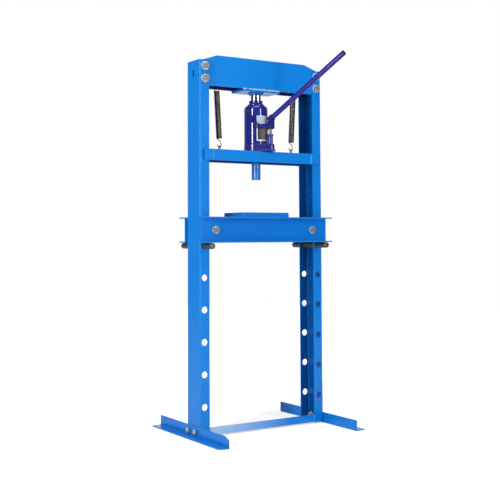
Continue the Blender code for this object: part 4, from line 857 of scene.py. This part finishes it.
def angle_foot(label, side):
    """An angle foot with a rolled fillet. The left one has its front corners cut off."""
    face = side * FOOT_FACE
    obj = prism(f"{label}_foot", [angle(FOOT_REACH, FOOT_HEIGHT, FOOT_WALL, FOOT_WALL)], 2 * FOOT_HALF,
                lay(side * X_AXIS, Z_AXIS, (face, 0, 0)))
    cutters = [drill(FOOT_HOLE, (face - side * OVER, y, FOOT_BOLT_Z),
                     (face + side * (FOOT_WALL + OVER), y, FOOT_BOLT_Z), 24) for y in (-FOOT_BOLT_Y, FOOT_BOLT_Y)]
    if side < 0:
        end, past, above = -FOOT_HALF, -FOOT_HALF - OVER, FOOT_HEIGHT + OVER
        low = FOOT_HEIGHT - FOOT_CORNER_DROP
        start = FOOT_CORNER_LENGTH - FOOT_HALF
        corner = [(start, FOOT_HEIGHT), (end, low), (past, low), (past, above), (start, above)]
        cutters.append(prism("corner", [corner], FOOT_REACH, lay(Y_AXIS, Z_AXIS, (face, 0, 0))))
        toe = face - FOOT_REACH
        inner, back = toe + FOOT_TOE_REACH, end + FOOT_TOE_LENGTH
        cutters.append(prism("toe", [[(inner, end), (toe + 0.004, end + 0.0025), (toe, back),
                                      (toe - OVER, back), (toe - OVER, past), (inner, past)]], 4 * FOOT_WALL))
    obj = soft_edges(cut(obj, *cutters), 0.0005)
    # The faces along the inner fillet take the painted shade of the crease
    painted_shade_faces(obj, lambda spot, way: FOOT_WALL < spot.z < 2 * FOOT_WALL and way.z < 0.8
               and FOOT_WALL < side * spot.x - FOOT_FACE < 2 * FOOT_WALL)
    finished(obj, "frame", (*BLUE, CREASE_PAINTED_SHADE))


def tie_bar():
    """The angle between the posts at the floor, with a weld at each end of its upright leg."""
    place = lay(Y_AXIS, Z_AXIS, (0, -HEAD_FACE, POST_FOOT + TIE_LIFT))
    obj = prism("tie_bar", [angle(TIE_LEG, TIE_HEIGHT, TIE_WALL, 0.003)], 2 * TIE_HALF, place)
    finished(soft_edges(obj, 0.0005), "frame", ("frame_paint", TIE_PAINT, FRAME_EDGE))
    for label, side in SIDES:
        x = side * (FRAME_WIDTH / 2 - POST_FLANGE - 0.0002)
        seam = [(x, -HEAD_FACE - 0.0002, z) for z in (0.0075, 0.0305)]
        weld(f"tie_weld_{label}", seam, 0.0042, 0.0042, "frame", pitch=0.0019, seed=11 + side)


# Bed

def bed_channel(label, side):
    corners = channel(BED_FLANGE, 0, BED_HEIGHT, BED_WALL, BED_BEND)
    place = lay(side * Y_AXIS, Z_AXIS, (BED_REAR_SHIFT if side > 0 else 0, side * BED_INSIDE, BED_BOTTOM))
    obj = prism(f"bed_channel_{label}", [arc_corners(corners[-1:] + corners[:-1])], 2 * BED_HALF, place)
    holes = [drill(BED_HOLE, (x, side * (BED_INSIDE - OVER), BED_BOLT_Z),
                   (x, side * (BED_INSIDE + BED_WALL + OVER), BED_BOLT_Z)) for x in (-BED_BOLT_X, BED_BOLT_X)]
    finished(soft_edges(cut(obj, *holes), 0.0005), "bed", BLUE)


def bed_spacer(label, side):
    half = BED_INSIDE - GAP
    profile = both_ends([(0.0065, half - 0.0005), (0.0070, half), (0.0125, half), (0.013, half - 0.0005)])
    place = lay(X_AXIS, Z_AXIS, (side * BED_BOLT_X, 0, BED_BOLT_Z))
    finished(turned(f"bed_spacer_{label}", profile, place, 48), "bed", ("zinc_fastener", ZINC))


def support_pin(label, side):
    """A plain round pin, its ends turned to a blunt round."""
    blunt = quarter(PIN_ROUND, PIN_ROUND, PIN / 2 - PIN_ROUND, PIN_HALF - PIN_ROUND)
    place = lay(X_AXIS, Z_AXIS, (side * PIN_X, PIN_BACK, PIN_Z))
    finished(turned(f"support_pin_{label}", both_ends([(0, PIN_HALF)] + blunt), place, 48), f"pin_{label}",
             ("dark_steel", PIN_STEEL))


# Fasteners

def hexagon(name, across, low, high, both=False):
    """A hexagon whose corners are turned off at its upper end, or at both."""
    corner = across / 2 / math.cos(math.pi / 6)
    flat = across / 2 * 0.96
    wide = corner + 0.0005
    drop = (wide - flat) * math.tan(math.radians(30))
    profile = [(0, high), (flat, high), (wide, high - drop)]
    profile += [(wide, low + drop), (flat, low), (0, low)] if both else [(wide, low), (0, low)]
    return boolean(bar(name, 2 * corner, (0, 0, low), (0, 0, high), 6), "INTERSECT",
                   turned("round", profile, sides=48))


def threaded(name, diameter, pitch, low, high, sides=28):
    """A threaded end: one helical ridge, with its last turn tapered off."""
    root = diameter / 2 - pitch * 0.5
    count = max(4, math.ceil((high - low) / pitch * 5))
    shape = bmesh.new()
    rows = []
    for row in range(count + 1):
        z = low + (high - low) * row / count
        rows.append([])
        for i in range(sides):
            radius = diameter / 2 - pitch * 0.5 * abs(2 * ((z / pitch - i / sides) % 1) - 1)
            radius = min(radius, root + max(0.0, z - low) * 1.2)
            turn = math.tau * i / sides
            rows[-1].append(shape.verts.new((radius * math.cos(turn), radius * math.sin(turn), z)))
    for lower, upper in zip(rows, rows[1:]):
        for i in range(sides):
            j = (i + 1) % sides
            shape.faces.new((lower[i], lower[j], upper[j], upper[i]))
    shape.faces.new(rows[0])
    shape.faces.new(rows[-1])
    bmesh.ops.recalc_face_normals(shape, faces=shape.faces)
    return stand(name, poured(name, shape))


def gathered(name, *objects):
    """These shapes as one object of several closed shells."""
    shape = bmesh.new()
    for obj in objects:
        shape.from_mesh(obj.data)
        bpy.data.objects.remove(obj, do_unlink=True)
    return stand(name, poured(name, shape))


def fastener(name, shank, washer, across, grip, pitch, shade=1.0):
    """A bolt with its washer and nut. The washer lies on Z = 0, and the nut's seat is at -grip."""
    head_low = GAP + 0.002
    nut_high = -grip - GAP
    nut_low = nut_high - shank * 0.8
    radius, lip, top = washer / 2, 0.0003, head_low - 0.0001
    disc = [(shank / 2, top), (radius - lip, top), (radius, top - lip), (radius, GAP + lip), (radius - lip, GAP),
            (shank / 2, GAP)]
    obj = gathered(
        name,
        turned("washer", disc, sides=48),
        hexagon("head", across, head_low, head_low + shank * 0.62),
        hexagon("nut", across, nut_low, nut_high, True),
        bar("shank", shank, (0, 0, head_low + 0.0005), (0, 0, nut_high - 0.0005)),
        threaded("thread", shank, pitch, nut_low - shank * 0.25, nut_high),
    )
    # Painted shade: the hexagons' sides are shaded darkest, their flat ends a little less, their chamfers least, and
    # the washer not at all
    facet_shade = obj.data.attributes.new("hexagon", "FLOAT", "FACE")
    for face in obj.data.polygons:
        rise = abs(face.normal.z)
        part = 1.0 if rise < 0.1 else (0.85 if rise > 0.95 else 0.1)
        facet_shade.data[face.index].value = 0 if 0 < face.center.z < head_low - 0.00005 else part * shade
    return obj


def scattered(name, fastener_object, body, places):
    """One fastener at each place, made by the tree, as one piece that replaces the nodes so named."""
    points = [place.to_translation() for place in places.values()]
    turns = [tuple(place.to_euler()) for place in places.values()]
    obj = grown(name, SCATTER, points, {"Fastener": fastener_object, "Finish": ZINC}, turns=turns)
    bpy.data.objects.remove(fastener_object, do_unlink=True)
    finished(obj, body, ("zinc_fastener",), *places, smooth=30)


def spun(place, degrees):
    return place @ Matrix.Rotation(math.radians(degrees), 4, "Z")


def all_bolts():
    places = {}
    for face, end in FACES:
        for across, side in SIDES:
            for level, z in zip(("lower", "upper"), HEAD_BOLT_Z):
                place = lay(-end * X_AXIS, Z_AXIS, (side * HEAD_BOLT_X, end * POST_DEPTH / 2, z))
                places[f"head_bolt_{face}_{across}_{level}"] = spun(place, (17 * len(places)) % 60)
    grip = POST_WALL + GAP + HEAD_WALL
    scattered("head_bolts", fastener("m14_bolt", 0.014, 0.028, 0.022, grip, 0.002), "frame", places)
    places = {}
    for across, side in SIDES:
        for face, end in FACES:
            at = side * (FRAME_WIDTH / 2 - POST_WALL), end * FOOT_BOLT_Y, FOOT_BOLT_Z
            turn = (23 * len(places) + 8) % 60
            places[f"foot_bolt_{across}_{face}"] = spun(lay(side * Y_AXIS, -Z_AXIS, at), turn)
    grip = POST_WALL + GAP + FOOT_WALL
    scattered("foot_bolts", fastener("m10_bolt", 0.010, 0.020, 0.016, grip, 0.0015, 0.8), "frame", places)
    face = BED_INSIDE + BED_WALL
    places = {f"bed_bolt_{label}": spun(lay(X_AXIS, Z_AXIS, (side * BED_BOLT_X, -face, BED_BOLT_Z)), turn)
              for (label, side), turn in zip(SIDES, (12, 41))}
    scattered("bed_bolts", fastener("m12_bolt", 0.012, 0.025, 0.019, 2 * face, 0.00175), "bed", places)


# Ram beam, ram, springs

def ram_beam():
    inside = BEAM_FACE - BEAM_WALL
    low = BEAM_TOP - BEAM_HEIGHT
    corners = channel(BEAM_HEIGHT, -BEAM_FACE, BEAM_FACE, BEAM_WALL, BEAM_BEND)
    outline = arc_corners([(y, BEAM_TOP - drop, radius) for drop, y, radius in corners])
    obj = prism("ram_beam", [outline], 2 * BEAM_HALF, lay(Y_AXIS, Z_AXIS))
    cutters = []
    for label, side in SIDES:
        start, end = sorted((side * BEAM_PLATE_HALF, side * (BEAM_HALF + OVER)))
        cutters.append(box((start, -inside, low - OVER), (end, inside, BEAM_TOP + OVER)))
        x = side * SPRING_LOW_X
        cutters.append(drill(0.007, (x, 0, BEAM_TOP - BEAM_WALL - OVER), (x, 0, BEAM_TOP + OVER), 24))
    obj = soft_edges(cut(obj, *cutters), 0.0005)
    # The beam's underside, its end faces and the faces inside it take the painted shade
    painted_shade_faces(obj, lambda spot, way: way.z < -0.9 or abs(way.x) > 0.9 or abs(spot.y) < inside + GAP)
    finished(obj, "ram", (*BLUE, CHANNEL_PAINTED_SHADE))
    # The seams are welds with a painted highlight
    for label, side in SIDES:
        for face, end in FACES:
            seam = [(side * BEAM_SEAM_X, end * BEAM_FACE, z) for z in (low + 0.002, BEAM_TOP - 0.005)]
            weld(f"beam_seam_{label}_{face}", seam, 0.0044, 0.0026, "ram", pitch=0.0016,
                 seed=21 + side + 3 * end, look=SEAM_PAINTED_HIGHLIGHT)


def ram_bar():
    top = BEAM_TOP - BEAM_WALL - GAP
    radius = RAM / 2
    profile = [(0, top), (radius, top), (radius, RAM_BOTTOM + 0.0016), (radius - 0.0003, RAM_BOTTOM + 0.0008),
               (radius - 0.0016, RAM_BOTTOM), (0, RAM_BOTTOM)]
    finished(turned("ram_tube", profile, sides=72), "ram", ("frame_paint", RAM_PAINT), smooth=30)
    circle = [(x, y, BEAM_TOP - BEAM_WALL - 0.0012) for x, y in ring(0, 0, RAM, 48)]
    weld("ram_weld", circle, 0.0050, 0.0036, "ram", seed=31, loop=True)


def smooth_path(points, steps):
    """A smooth line through these points."""
    line = []
    for i in range(len(points) - 1):
        before, start, end, after = (Vector(points[min(max(i + j, 0), len(points) - 1)]) for j in (-1, 0, 1, 2))
        for t in (step / steps for step in range(steps)):
            line.append(0.5 * ((2 * start) + (end - before) * t + (2 * before - 5 * start + 4 * end - after) * t * t
                               + (3 * start - before - 3 * end + after) * t * t * t))
    return line + [Vector(points[-1])]


HOOK_LOW_Z = EYE_Z + EYE_RADIUS - EYE_WIRE / 2 - GAP - SPRING_WIRE / 2 + HOOK_RADIUS
HOOK_HIGH_Z = ROD_Z + ROD / 2 + GAP + SPRING_WIRE / 2 - HOOK_RADIUS


def return_spring(label, side):
    """A close-wound spring with a hook at each end. It stretches between the head and the beam."""
    lean = math.atan2(SPRING_HIGH_X - SPRING_LOW_X, HOOK_HIGH_Z - HOOK_LOW_Z)
    length = math.hypot(SPRING_HIGH_X - SPRING_LOW_X, HOOK_HIGH_Z - HOOK_LOW_Z)
    coil = (SPRING_DIAMETER - SPRING_WIRE) / 2
    start = (length - SPRING_BODY) / 2
    hook = [(x, 0, z) for x, z in arc(HOOK_RADIUS, math.radians(160), math.radians(235), 10)]
    hook += [(coil * across, 0, HOOK_RADIUS + (start - HOOK_RADIUS) * share)
             for across, share in ((0.35, 0.40), (-0.40, 0.72), (-0.85, 0.92))]
    hook = smooth_path(hook, 4)
    curl = 20
    steps = SPRING_TURNS * curl
    turns = [(x, y, start + SPRING_BODY * step / steps)
             for step, (x, y) in enumerate(arc(coil, math.pi, math.tau * SPRING_TURNS, steps))]
    path = hook + turns + [(p[0], p[1], length - p[2]) for p in reversed(hook)]
    obj = wire(f"return_spring_{label}_coil", path, SPRING_WIRE, SPRING_STEEL, 9)
    at = shift(side * SPRING_LOW_X, z=HOOK_LOW_Z) @ Matrix.Rotation(side * lean, 4, "Y")
    obj.data.transform(MIDDLE @ at)
    obj.data.shade_smooth()
    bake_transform(obj)
    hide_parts(f"return_spring_{label}")


def spring_ends(label, side):
    """The rod in the head and the eye bolt in the beam that hold a spring."""
    x = side * SPRING_HIGH_X
    half = HEAD_FACE - HEAD_WALL - GAP
    profile = both_ends([(0, half), (ROD / 2 - 0.0006, half), (ROD / 2, half - 0.0006), (ROD / 2, 0.0045),
                         (ROD / 2 - 0.0003, 0.0040)])
    finished(turned(f"spring_rod_{label}", profile, lay(X_AXIS, Z_AXIS, (x, 0, ROD_Z)), 32), "frame",
             BLUE[:2], smooth=30)
    for face, end in FACES:
        circle = [(u, end * (half - 0.0004), v) for u, v in ring(x, ROD_Z, 0.0092, 20)]
        weld(f"rod_weld_{label}_{face}", circle, 0.0026, 0.0022, "frame", pitch=0.0013,
             seed=41 + side + end, loop=True)
    x = side * SPRING_LOW_X
    top, under = BEAM_TOP + GAP, BEAM_TOP - BEAM_WALL - GAP
    stem = gathered("stem", hexagon("nut", 0.011, top, top + EYE_NUT, True),
                    hexagon("nut", 0.011, under - EYE_NUT, under, True),
                    bar("shank", 0.0058, (0, 0, EYE_Z - EYE_RADIUS), (0, 0, under - 0.001), 24),
                    threaded("thread", 0.006, 0.001, under - 0.0065, under - 0.001, 20))
    stem.data.transform(shift(x))
    circle = [(x, u, v) for u, v in ring(0, EYE_Z, 2 * EYE_RADIUS, 32)]
    eye = gathered(f"eye_bolt_{label}", wire("eye_ring", circle, EYE_WIRE, ZINC, 14, True), stem)
    finished(eye, "ram", ("zinc_fastener", PIN_STEEL), smooth=30)


# Jack

def teardrop(radius, nose_radius, steps=48):
    """The outline round a large circle and a smaller one about the pump."""
    turn = math.acos((radius - nose_radius) / PUMP_X)
    return (arc(radius, turn, math.tau - 2 * turn, steps) + arc(nose_radius, -turn, 2 * turn, 16, PUMP_X))


def jack_base():
    """The cast base: a rounded block with a nose for the pump, on a spread foot."""
    flange = soft_edges(prism("jack_base", [teardrop(0.0465, 0.0188)], 0.0055, shift(z=BASE_BOTTOM + 0.00275)),
                        0.0018, 3)
    tall = BASE_TOP - BASE_BOTTOM - 0.003
    block = soft_edges(prism("block", [teardrop(0.0425, 0.0148)], tall, shift(z=BASE_TOP - tall / 2)), 0.0028, 4)
    well = drill(0.0226, (PUMP_X, 0, BASE_TOP - PUMP_WELL), (PUMP_X, 0, BASE_TOP + OVER), 48)
    aim = Vector((math.cos(math.radians(75)), math.sin(math.radians(75)), 0))
    height = Vector((0, 0, BASE_BOTTOM + 0.012))
    block = cut(block, well, drill(0.009, aim * 0.0315 + height, aim * 0.0485 + height))
    finished(boolean(flange, "UNION", block), "ram", ("jack_paint", JACK_CAST), place=JACK, smooth=35)


def jack_tank():
    """The oil tank: a drawn shell with a domed shoulder, and a lug on each side for the straps."""
    outside = quarter((TANK - NECK) / 2, SHOULDER_HEIGHT, NECK / 2, SHOULDER, 14)
    inside = quarter(TANK / 2 - TANK_WALL - NECK_BORE / 2, SHOULDER_HEIGHT - TANK_WALL, NECK_BORE / 2, SHOULDER, 14)
    profile = [(NECK_BORE / 2, SHOULDER + SHOULDER_HEIGHT), *outside, (TANK / 2, TANK_BOTTOM + 0.0008),
               (TANK / 2 - 0.0008, TANK_BOTTOM), (TANK / 2 - TANK_WALL, TANK_BOTTOM), *inside[::-1]]
    obj = turned("jack_tank", profile, sides=96)
    lugs = []
    for label, side in SIDES:
        lug = bar("lug", 0.015, (LUG_X, side * 0.0385, LUG_Z), (LUG_X, side * EAR_FACE, LUG_Z), 32)
        hole = drill(LUG_HOLE, (LUG_X, side * (EAR_FACE - 0.0038), LUG_Z), (LUG_X, side * (EAR_FACE + OVER), LUG_Z), 24)
        lugs.append((lug, hole))
    for lug, hole in lugs:
        obj = cut(boolean(obj, "UNION", lug), hole)
    obj = cut(obj, drill(0.0084, (-TANK / 2 - OVER, 0, PLUG_Z), (-TANK / 2 + TANK_WALL + OVER, 0, PLUG_Z), 24))
    finished(obj, "ram", JACK_BLUE, place=JACK, smooth=35)
    for label, side in SIDES:
        circle = [(x, side * 0.0412, z) for x, z in ring(LUG_X, LUG_Z, 0.0156, 28)]
        weld(f"lug_weld_{label}", circle, 0.0024, 0.0022, "ram", JACK, 0.0013, 51 + side, True, JACK_PAINT)


def tank_label(name, low, high, look):
    """A blank printed label, wrapped on the tank's pump side."""
    steps = 44
    shape = bmesh.new()
    layer = shape.loops.layers.uv.new("label")
    half = math.radians(55)
    rows = [[shape.verts.new((x, y, z)) for x, y in arc(TANK / 2 + 0.00028, -half, 2 * half, steps)]
            for z in (low, high)]
    for i in range(steps):
        face = shape.faces.new((rows[0][i], rows[0][i + 1], rows[1][i + 1], rows[1][i]))
        for loop, (u, v) in zip(face.loops, ((i, 0), (i + 1, 0), (i + 1, 1), (i, 1))):
            loop[layer].uv = (u / steps, v)
    obj = stand(name, poured(name, shape))
    wall = obj.modifiers.new("wall", "SOLIDIFY")
    wall.thickness = 0.0002
    finished(stand(name, evaluated(obj)), "ram", ("jack_paint", look), place=JACK)


def jack_top():
    """The gland nut and the chromed piston that slides in it."""
    bore = PISTON / 2 + GAP
    base, top = NUT_BOTTOM, NUT_BOTTOM + NUT_HEIGHT
    radius, neck, thread = NUT_TOP_WIDTH / 2, NECK / 2, NECK_BORE / 2 - GAP
    profile = [(bore, top - 0.0012), (bore + 0.0012, top), (radius - 0.0014, top), (radius - 0.0004, top - 0.0005),
               (radius, top - 0.0015), (radius, base + 0.0080), (radius + 0.0012, base + 0.0066),
               (neck - 0.0012, base + 0.0040), (neck, base + 0.0028), (neck, base + 0.0004), (neck - 0.0004, base),
               (thread, base), (thread, base - 0.008), (bore, base - 0.008)]
    finished(turned("jack_top_nut", profile, sides=80), "ram", JACK_BLUE, place=JACK, smooth=30)
    radius = PISTON / 2
    profile = [(0, PISTON_TOP), (radius - 0.0012, PISTON_TOP), (radius - 0.0003, PISTON_TOP - 0.0003),
               (radius, PISTON_TOP - 0.0012), (radius, PISTON_BOTTOM + 0.001), (radius - 0.001, PISTON_BOTTOM),
               (0, PISTON_BOTTOM)]
    finished(turned("jack_piston", profile, sides=80), "frame", ("chrome_rod", CHROME), place=JACK, smooth=30)


def pump():
    """The pump's cylinder, its plunger with the eye, and the rubber plug at the tank's back."""
    bottom, top, bore, wide = BASE_TOP - PUMP_WELL + GAP, BASE_TOP + 0.034, 0.0058, 0.0110
    profile = [(0, bottom + 0.004), (bore, bottom + 0.004), (bore, top - 0.0006), (bore + 0.0006, top),
               (0.0104, top), (wide, top - 0.0006), (wide, top - 0.0054), (0.0106, top - 0.0060),
               (0.0095, top - 0.0072), (0.0095, BASE_TOP + 0.0020), (0.0104, BASE_TOP + 0.0006),
               (wide, BASE_TOP), (wide, bottom), (0, bottom)]
    finished(turned("pump_cylinder", profile, shift(PUMP_X), 56), "ram", JACK_BLUE, place=JACK, smooth=30)
    rod = bar("pump_plunger", 0.011, (PUMP_X, 0, BASE_TOP + 0.016), (PUMP_X, 0, FULCRUM_Z), 40)
    eye = bar("eye", 0.015, (PUMP_X, -0.006, FULCRUM_Z), (PUMP_X, 0.006, FULCRUM_Z), 40)
    obj = cut(boolean(rod, "UNION", eye), drill(0.0066, (PUMP_X, -0.008, FULCRUM_Z), (PUMP_X, 0.008, FULCRUM_Z)))
    finished(soft_edges(obj, 0.0004), "plunger", ("chrome_rod", PLUNGER_STEEL), place=JACK)
    pin = both_ends([(0, 0.0140), (0.0026, 0.0140), (0.003, 0.0136)])
    finished(turned("plunger_pin", pin, lay(X_AXIS, Z_AXIS, (PUMP_X, 0, FULCRUM_Z)), 32), "plunger", PIVOT, place=JACK)
    profile = [(0, 0.0023), (0.0046, 0.0023), (0.0058, 0.0017), (0.0065, 0.0008), (0.0065, GAP),
               (0.0039, GAP), (0.0039, -0.003), (0, -0.003)]
    place = shift(-TANK / 2, z=PLUG_Z) @ lay(Y_AXIS, Z_AXIS) @ Matrix.Rotation(math.pi, 4, "Y")
    finished(turned("filler_plug", profile, place, 32), "ram", ("rubber", RUBBER), place=JACK)


def pump_lever():
    """The fork lever: ears beside the tank, arms that close in on the plunger's eye, and the socket."""
    inside = EAR_FACE - EAR_WALL
    half = [(0.0415, 0.006, 0.003), (0.037, 0.013, 0.004), (0.009, EAR_FACE, 0.004), (-0.007, EAR_FACE, 0.0015),
            (-0.007, inside, 0.0015), (0.006, inside, 0.003), (0.016, 0.012, 0.003)]
    mirrored = [(x, -y, radius) for x, y, radius in reversed(half)]
    obj = prism("pump_lever", [arc_corners(mirrored[3:] + half + mirrored[:3], 5)], 0.011)
    reach = PUMP_X - FULCRUM_X
    cheek = bar("cheek", 0.016, (reach, -0.0125, 0), (reach, 0.0125, 0), 40)
    web = prism("web", [[(0.017, 0.0035), (0.0395, 0.0035), (0.0405, 0.0215), (0.0245, 0.0235)]], 0.016,
                lay(X_AXIS, Z_AXIS))
    aim = Vector((math.cos(HANDLE_TILT), 0, math.sin(HANDLE_TILT)))
    root = Vector((0.023, 0, 0.02245))
    obj = boolean(obj, "UNION", cheek, web, bar("socket", 0.0232, root, root + aim * 0.019, 48))
    bore = drill(0.0186, root + aim * 0.002, root + aim * 0.021, 48)
    pocket = box((reach - 0.008, -0.0066, -0.010), (reach + 0.0118, 0.0066, 0.0086))
    slot = prism("slot", [obround((reach, 0), (reach + LEVER_PIN_ROOM, 0), 0.007)], 0.030, lay(X_AXIS, Z_AXIS))
    hole = drill(FULCRUM_HOLE, (0, -EAR_FACE - OVER, 0), (0, EAR_FACE + OVER, 0))
    pivot = JACK @ shift(FULCRUM_X, z=FULCRUM_Z)
    finished(soft_edges(cut(obj, bore, pocket, slot, hole), 0.0006), "lever", FORGED, place=pivot)
    # The handle, whose open end and bore are dark: painted shade in the bore and on a band round the open end
    start = 0.002 + GAP
    end = start + HANDLE_LENGTH
    radius, bore = HANDLE / 2, HANDLE / 2 - HANDLE_WALL
    profile = [(bore + 0.0004, end), (radius - 0.0005, end), (radius, end - 0.0007),
               (radius, end - HANDLE_DARK_END), (radius, start), (bore, start), (bore, end - 0.0006)]
    slope = Matrix.Translation(root) @ Matrix.Rotation(math.pi / 2 - HANDLE_TILT, 4, "Y")
    tube = turned("handle_tube", profile, slope, 56)
    axis = slope.to_3x3() @ Z_AXIS
    for face in tube.data.polygons:
        along = (face.center - root).dot(axis)
        off = (face.center - root - axis * along).length
        face.material_index = int(off < bore + 0.0003 or along > end - HANDLE_DARK_END)
    finished(tube, "handle", ("handle_paint", HANDLE_PAINT, HANDLE_PAINTED_SHADE), place=pivot, smooth=30)


def straps():
    """Two flat straps from the tank's lugs to the fulcrum, with their bolts and headed pins."""
    loops = [obround((LUG_X, LUG_Z), (FULCRUM_X, FULCRUM_Z), 0.013), ring(LUG_X, LUG_Z, LUG_HOLE),
             ring(FULCRUM_X, FULCRUM_Z, FULCRUM_HOLE)]
    for label, side in SIDES:
        middle = side * (STRAP_INNER + STRAP_WALL / 2)
        strap = prism(f"fulcrum_strap_{label}", loops, STRAP_WALL, lay(X_AXIS, Z_AXIS, (0, middle, 0)))
        finished(soft_edges(strap, 0.0006), "ram", FORGED, place=JACK)
        seat = STRAP_INNER + STRAP_WALL + GAP
        bolt = gathered(f"strap_bolt_{label}", hexagon("head", 0.012, 0, 0.005),
                        bar("shank", 0.007, (0, 0, 0.002), (0, 0, EAR_FACE - 0.0035 - seat), 28))
        out = lay(side * X_AXIS, -Z_AXIS, (LUG_X, side * seat, LUG_Z))
        finished(bolt, "ram", ("zinc_fastener", PIVOT_STEEL), place=JACK @ out, smooth=30)
        ear = EAR_FACE - EAR_WALL - GAP
        dome = quarter(0.006, 0.0020)
        profile = [(r, seat + z) for r, z in dome] + [(0.004, seat), (0.004, ear)]
        profile += [(r, ear - z * 0.9) for r, z in reversed(dome)]
        place = JACK @ lay(side * X_AXIS, -Z_AXIS, (FULCRUM_X, 0, FULCRUM_Z))
        finished(turned(f"fulcrum_pin_{label}", profile, sides=36), "ram", PIVOT, place=place, smooth=30)


for label, side in SIDES:
    channel_post(label, side)
    angle_foot(label, side)
    support_pin(label, side)
    bed_spacer(label, side)
    return_spring(label, side)
    spring_ends(label, side)
    refined(f"arbor_plate_{label}", f"plate_{label}", 0.0009, ("frame_paint", FRAME_PAINT, PLATE_EDGE))
head()
tie_bar()
for label, side in FACES:
    bed_channel(label, side)
all_bolts()
ram_beam()
ram_bar()
jack_base()
jack_tank()
tank_label("upper_label", 1.047, 1.075, PALE_LABEL)
tank_label("lower_label", 0.987, 1.040, DARK_LABEL)
jack_top()
pump()
pump_lever()
straps()
refined("release_valve", "valve", 0.0005, ("zinc_fastener", ZINC))
NODES["jack_cylinder"].data.materials.clear()
NODES["jack_cylinder"].data.materials.append(CYLINDER_STEEL)


# Studio

def for_camera(t, others, seen):
    """The second shader where the camera looks straight at it, else the first."""
    straight = t.add("ShaderNodeLightPath", output="Is Camera Ray")
    return {"Surface": t.add("ShaderNodeMixShader", {0: straight, 1: others, 2: seen})}


def studio():
    """A pale floor that shows white but keeps the soft shadow, and a room that is darker behind the camera."""
    made, t, shader = material("studio_floor")
    place = t.place()
    pale = t.mix(t.ramp(t.noise(place, 3.0), 0.3, 0.7), (0.86, 0.86, 0.86), (0.84, 0.84, 0.84))
    t.fill(shader, {"Roughness": 0.85, "Specular IOR Level": 0.1, "Base Color": pale})
    away = t.add("ShaderNodeVectorMath", {0: place}, "Value", operation="LENGTH")
    glow = t.add("ShaderNodeEmission", {"Strength": t.ramp(away, 0.6, 2.2, 0.50, 1.0)})
    both = t.add("ShaderNodeAddShader", {0: shader.outputs[0], 1: glow})
    t.fill(made.node_tree.nodes["Material Output"], for_camera(t, shader.outputs[0], both))
    shape = bmesh.new()
    bmesh.ops.create_circle(shape, cap_ends=True, segments=96, radius=6.0)
    floor = stand("studio_floor", poured("studio_floor", shape), made)
    floor.location.z = -0.0004
    world = bpy.data.worlds.new("studio")
    bpy.context.scene.world = world
    world.use_nodes = True
    world.node_tree.nodes.clear()
    t = Nodes(world.node_tree)
    ahead = t.add("ShaderNodeVectorMath", {0: t.add("ShaderNodeTexCoord", output="Generated"),
                                           1: (math.sin(CAMERA_YAW), math.cos(CAMERA_YAW), 0)},
                  "Value", operation="DOT_PRODUCT")
    mirrored = t.add("ShaderNodeLightPath", output="Is Glossy Ray")
    strength = t.ramp(mirrored, 0, 1, t.ramp(ahead, -0.3, 0.6, 0.22, 0.55), t.ramp(ahead, 0.55, 0.9, 0.10, 1.0))
    light = t.add("ShaderNodeBackground", {"Color": (0.96, 0.98, 1.0), "Strength": strength})
    white = t.add("ShaderNodeBackground", {"Color": (1, 1, 1)})
    t.node("ShaderNodeOutputWorld", for_camera(t, light, white))


def softbox(name, at, target, width, height, power):
    """A rectangular studio lamp."""
    data = bpy.data.lights.new(name, "AREA")
    data.shape = "RECTANGLE"
    data.size = width
    data.size_y = height
    data.energy = power
    lamp = stand(name, data)
    lamp.location = at
    lamp.rotation_euler = (Vector(target) - Vector(at)).to_track_quat("-Z", "Y").to_euler()


def camera():
    """The camera, where the photograph's edges put it."""
    data = bpy.data.cameras.new("camera")
    data.sensor_width = SENSOR
    data.lens = CAMERA_FOCAL_PIXELS * SENSOR / PICTURE_PIXELS
    data.shift_y = CAMERA_DROP_PIXELS / PICTURE_PIXELS
    data.clip_start = 0.05
    data.clip_end = 50
    obj = stand("camera", data)
    turn = (Matrix.Rotation(-CAMERA_YAW, 4, "Z") @ Matrix.Rotation(math.pi / 2 + CAMERA_PITCH, 4, "X")
            @ Matrix.Rotation(CAMERA_ROLL, 4, "Z"))
    obj.matrix_world = MIDDLE @ Matrix.Translation(CAMERA_AT) @ turn
    bpy.context.scene.camera = obj


studio()
softbox("left_softbox", (-2.95, -1.19, 1.35), (0, 0, 0.70), 0.42, 2.4, 62)
softbox("front_softbox", (0.82, -3.29, 1.35), (0, 0, 0.70), 0.32, 2.4, 40)
softbox("top_softbox", (-0.4, -0.5, 3.4), (0, 0, 0.80), 1.8, 1.8, 40)
camera()
bpy.context.scene.view_settings.view_transform = "Standard"
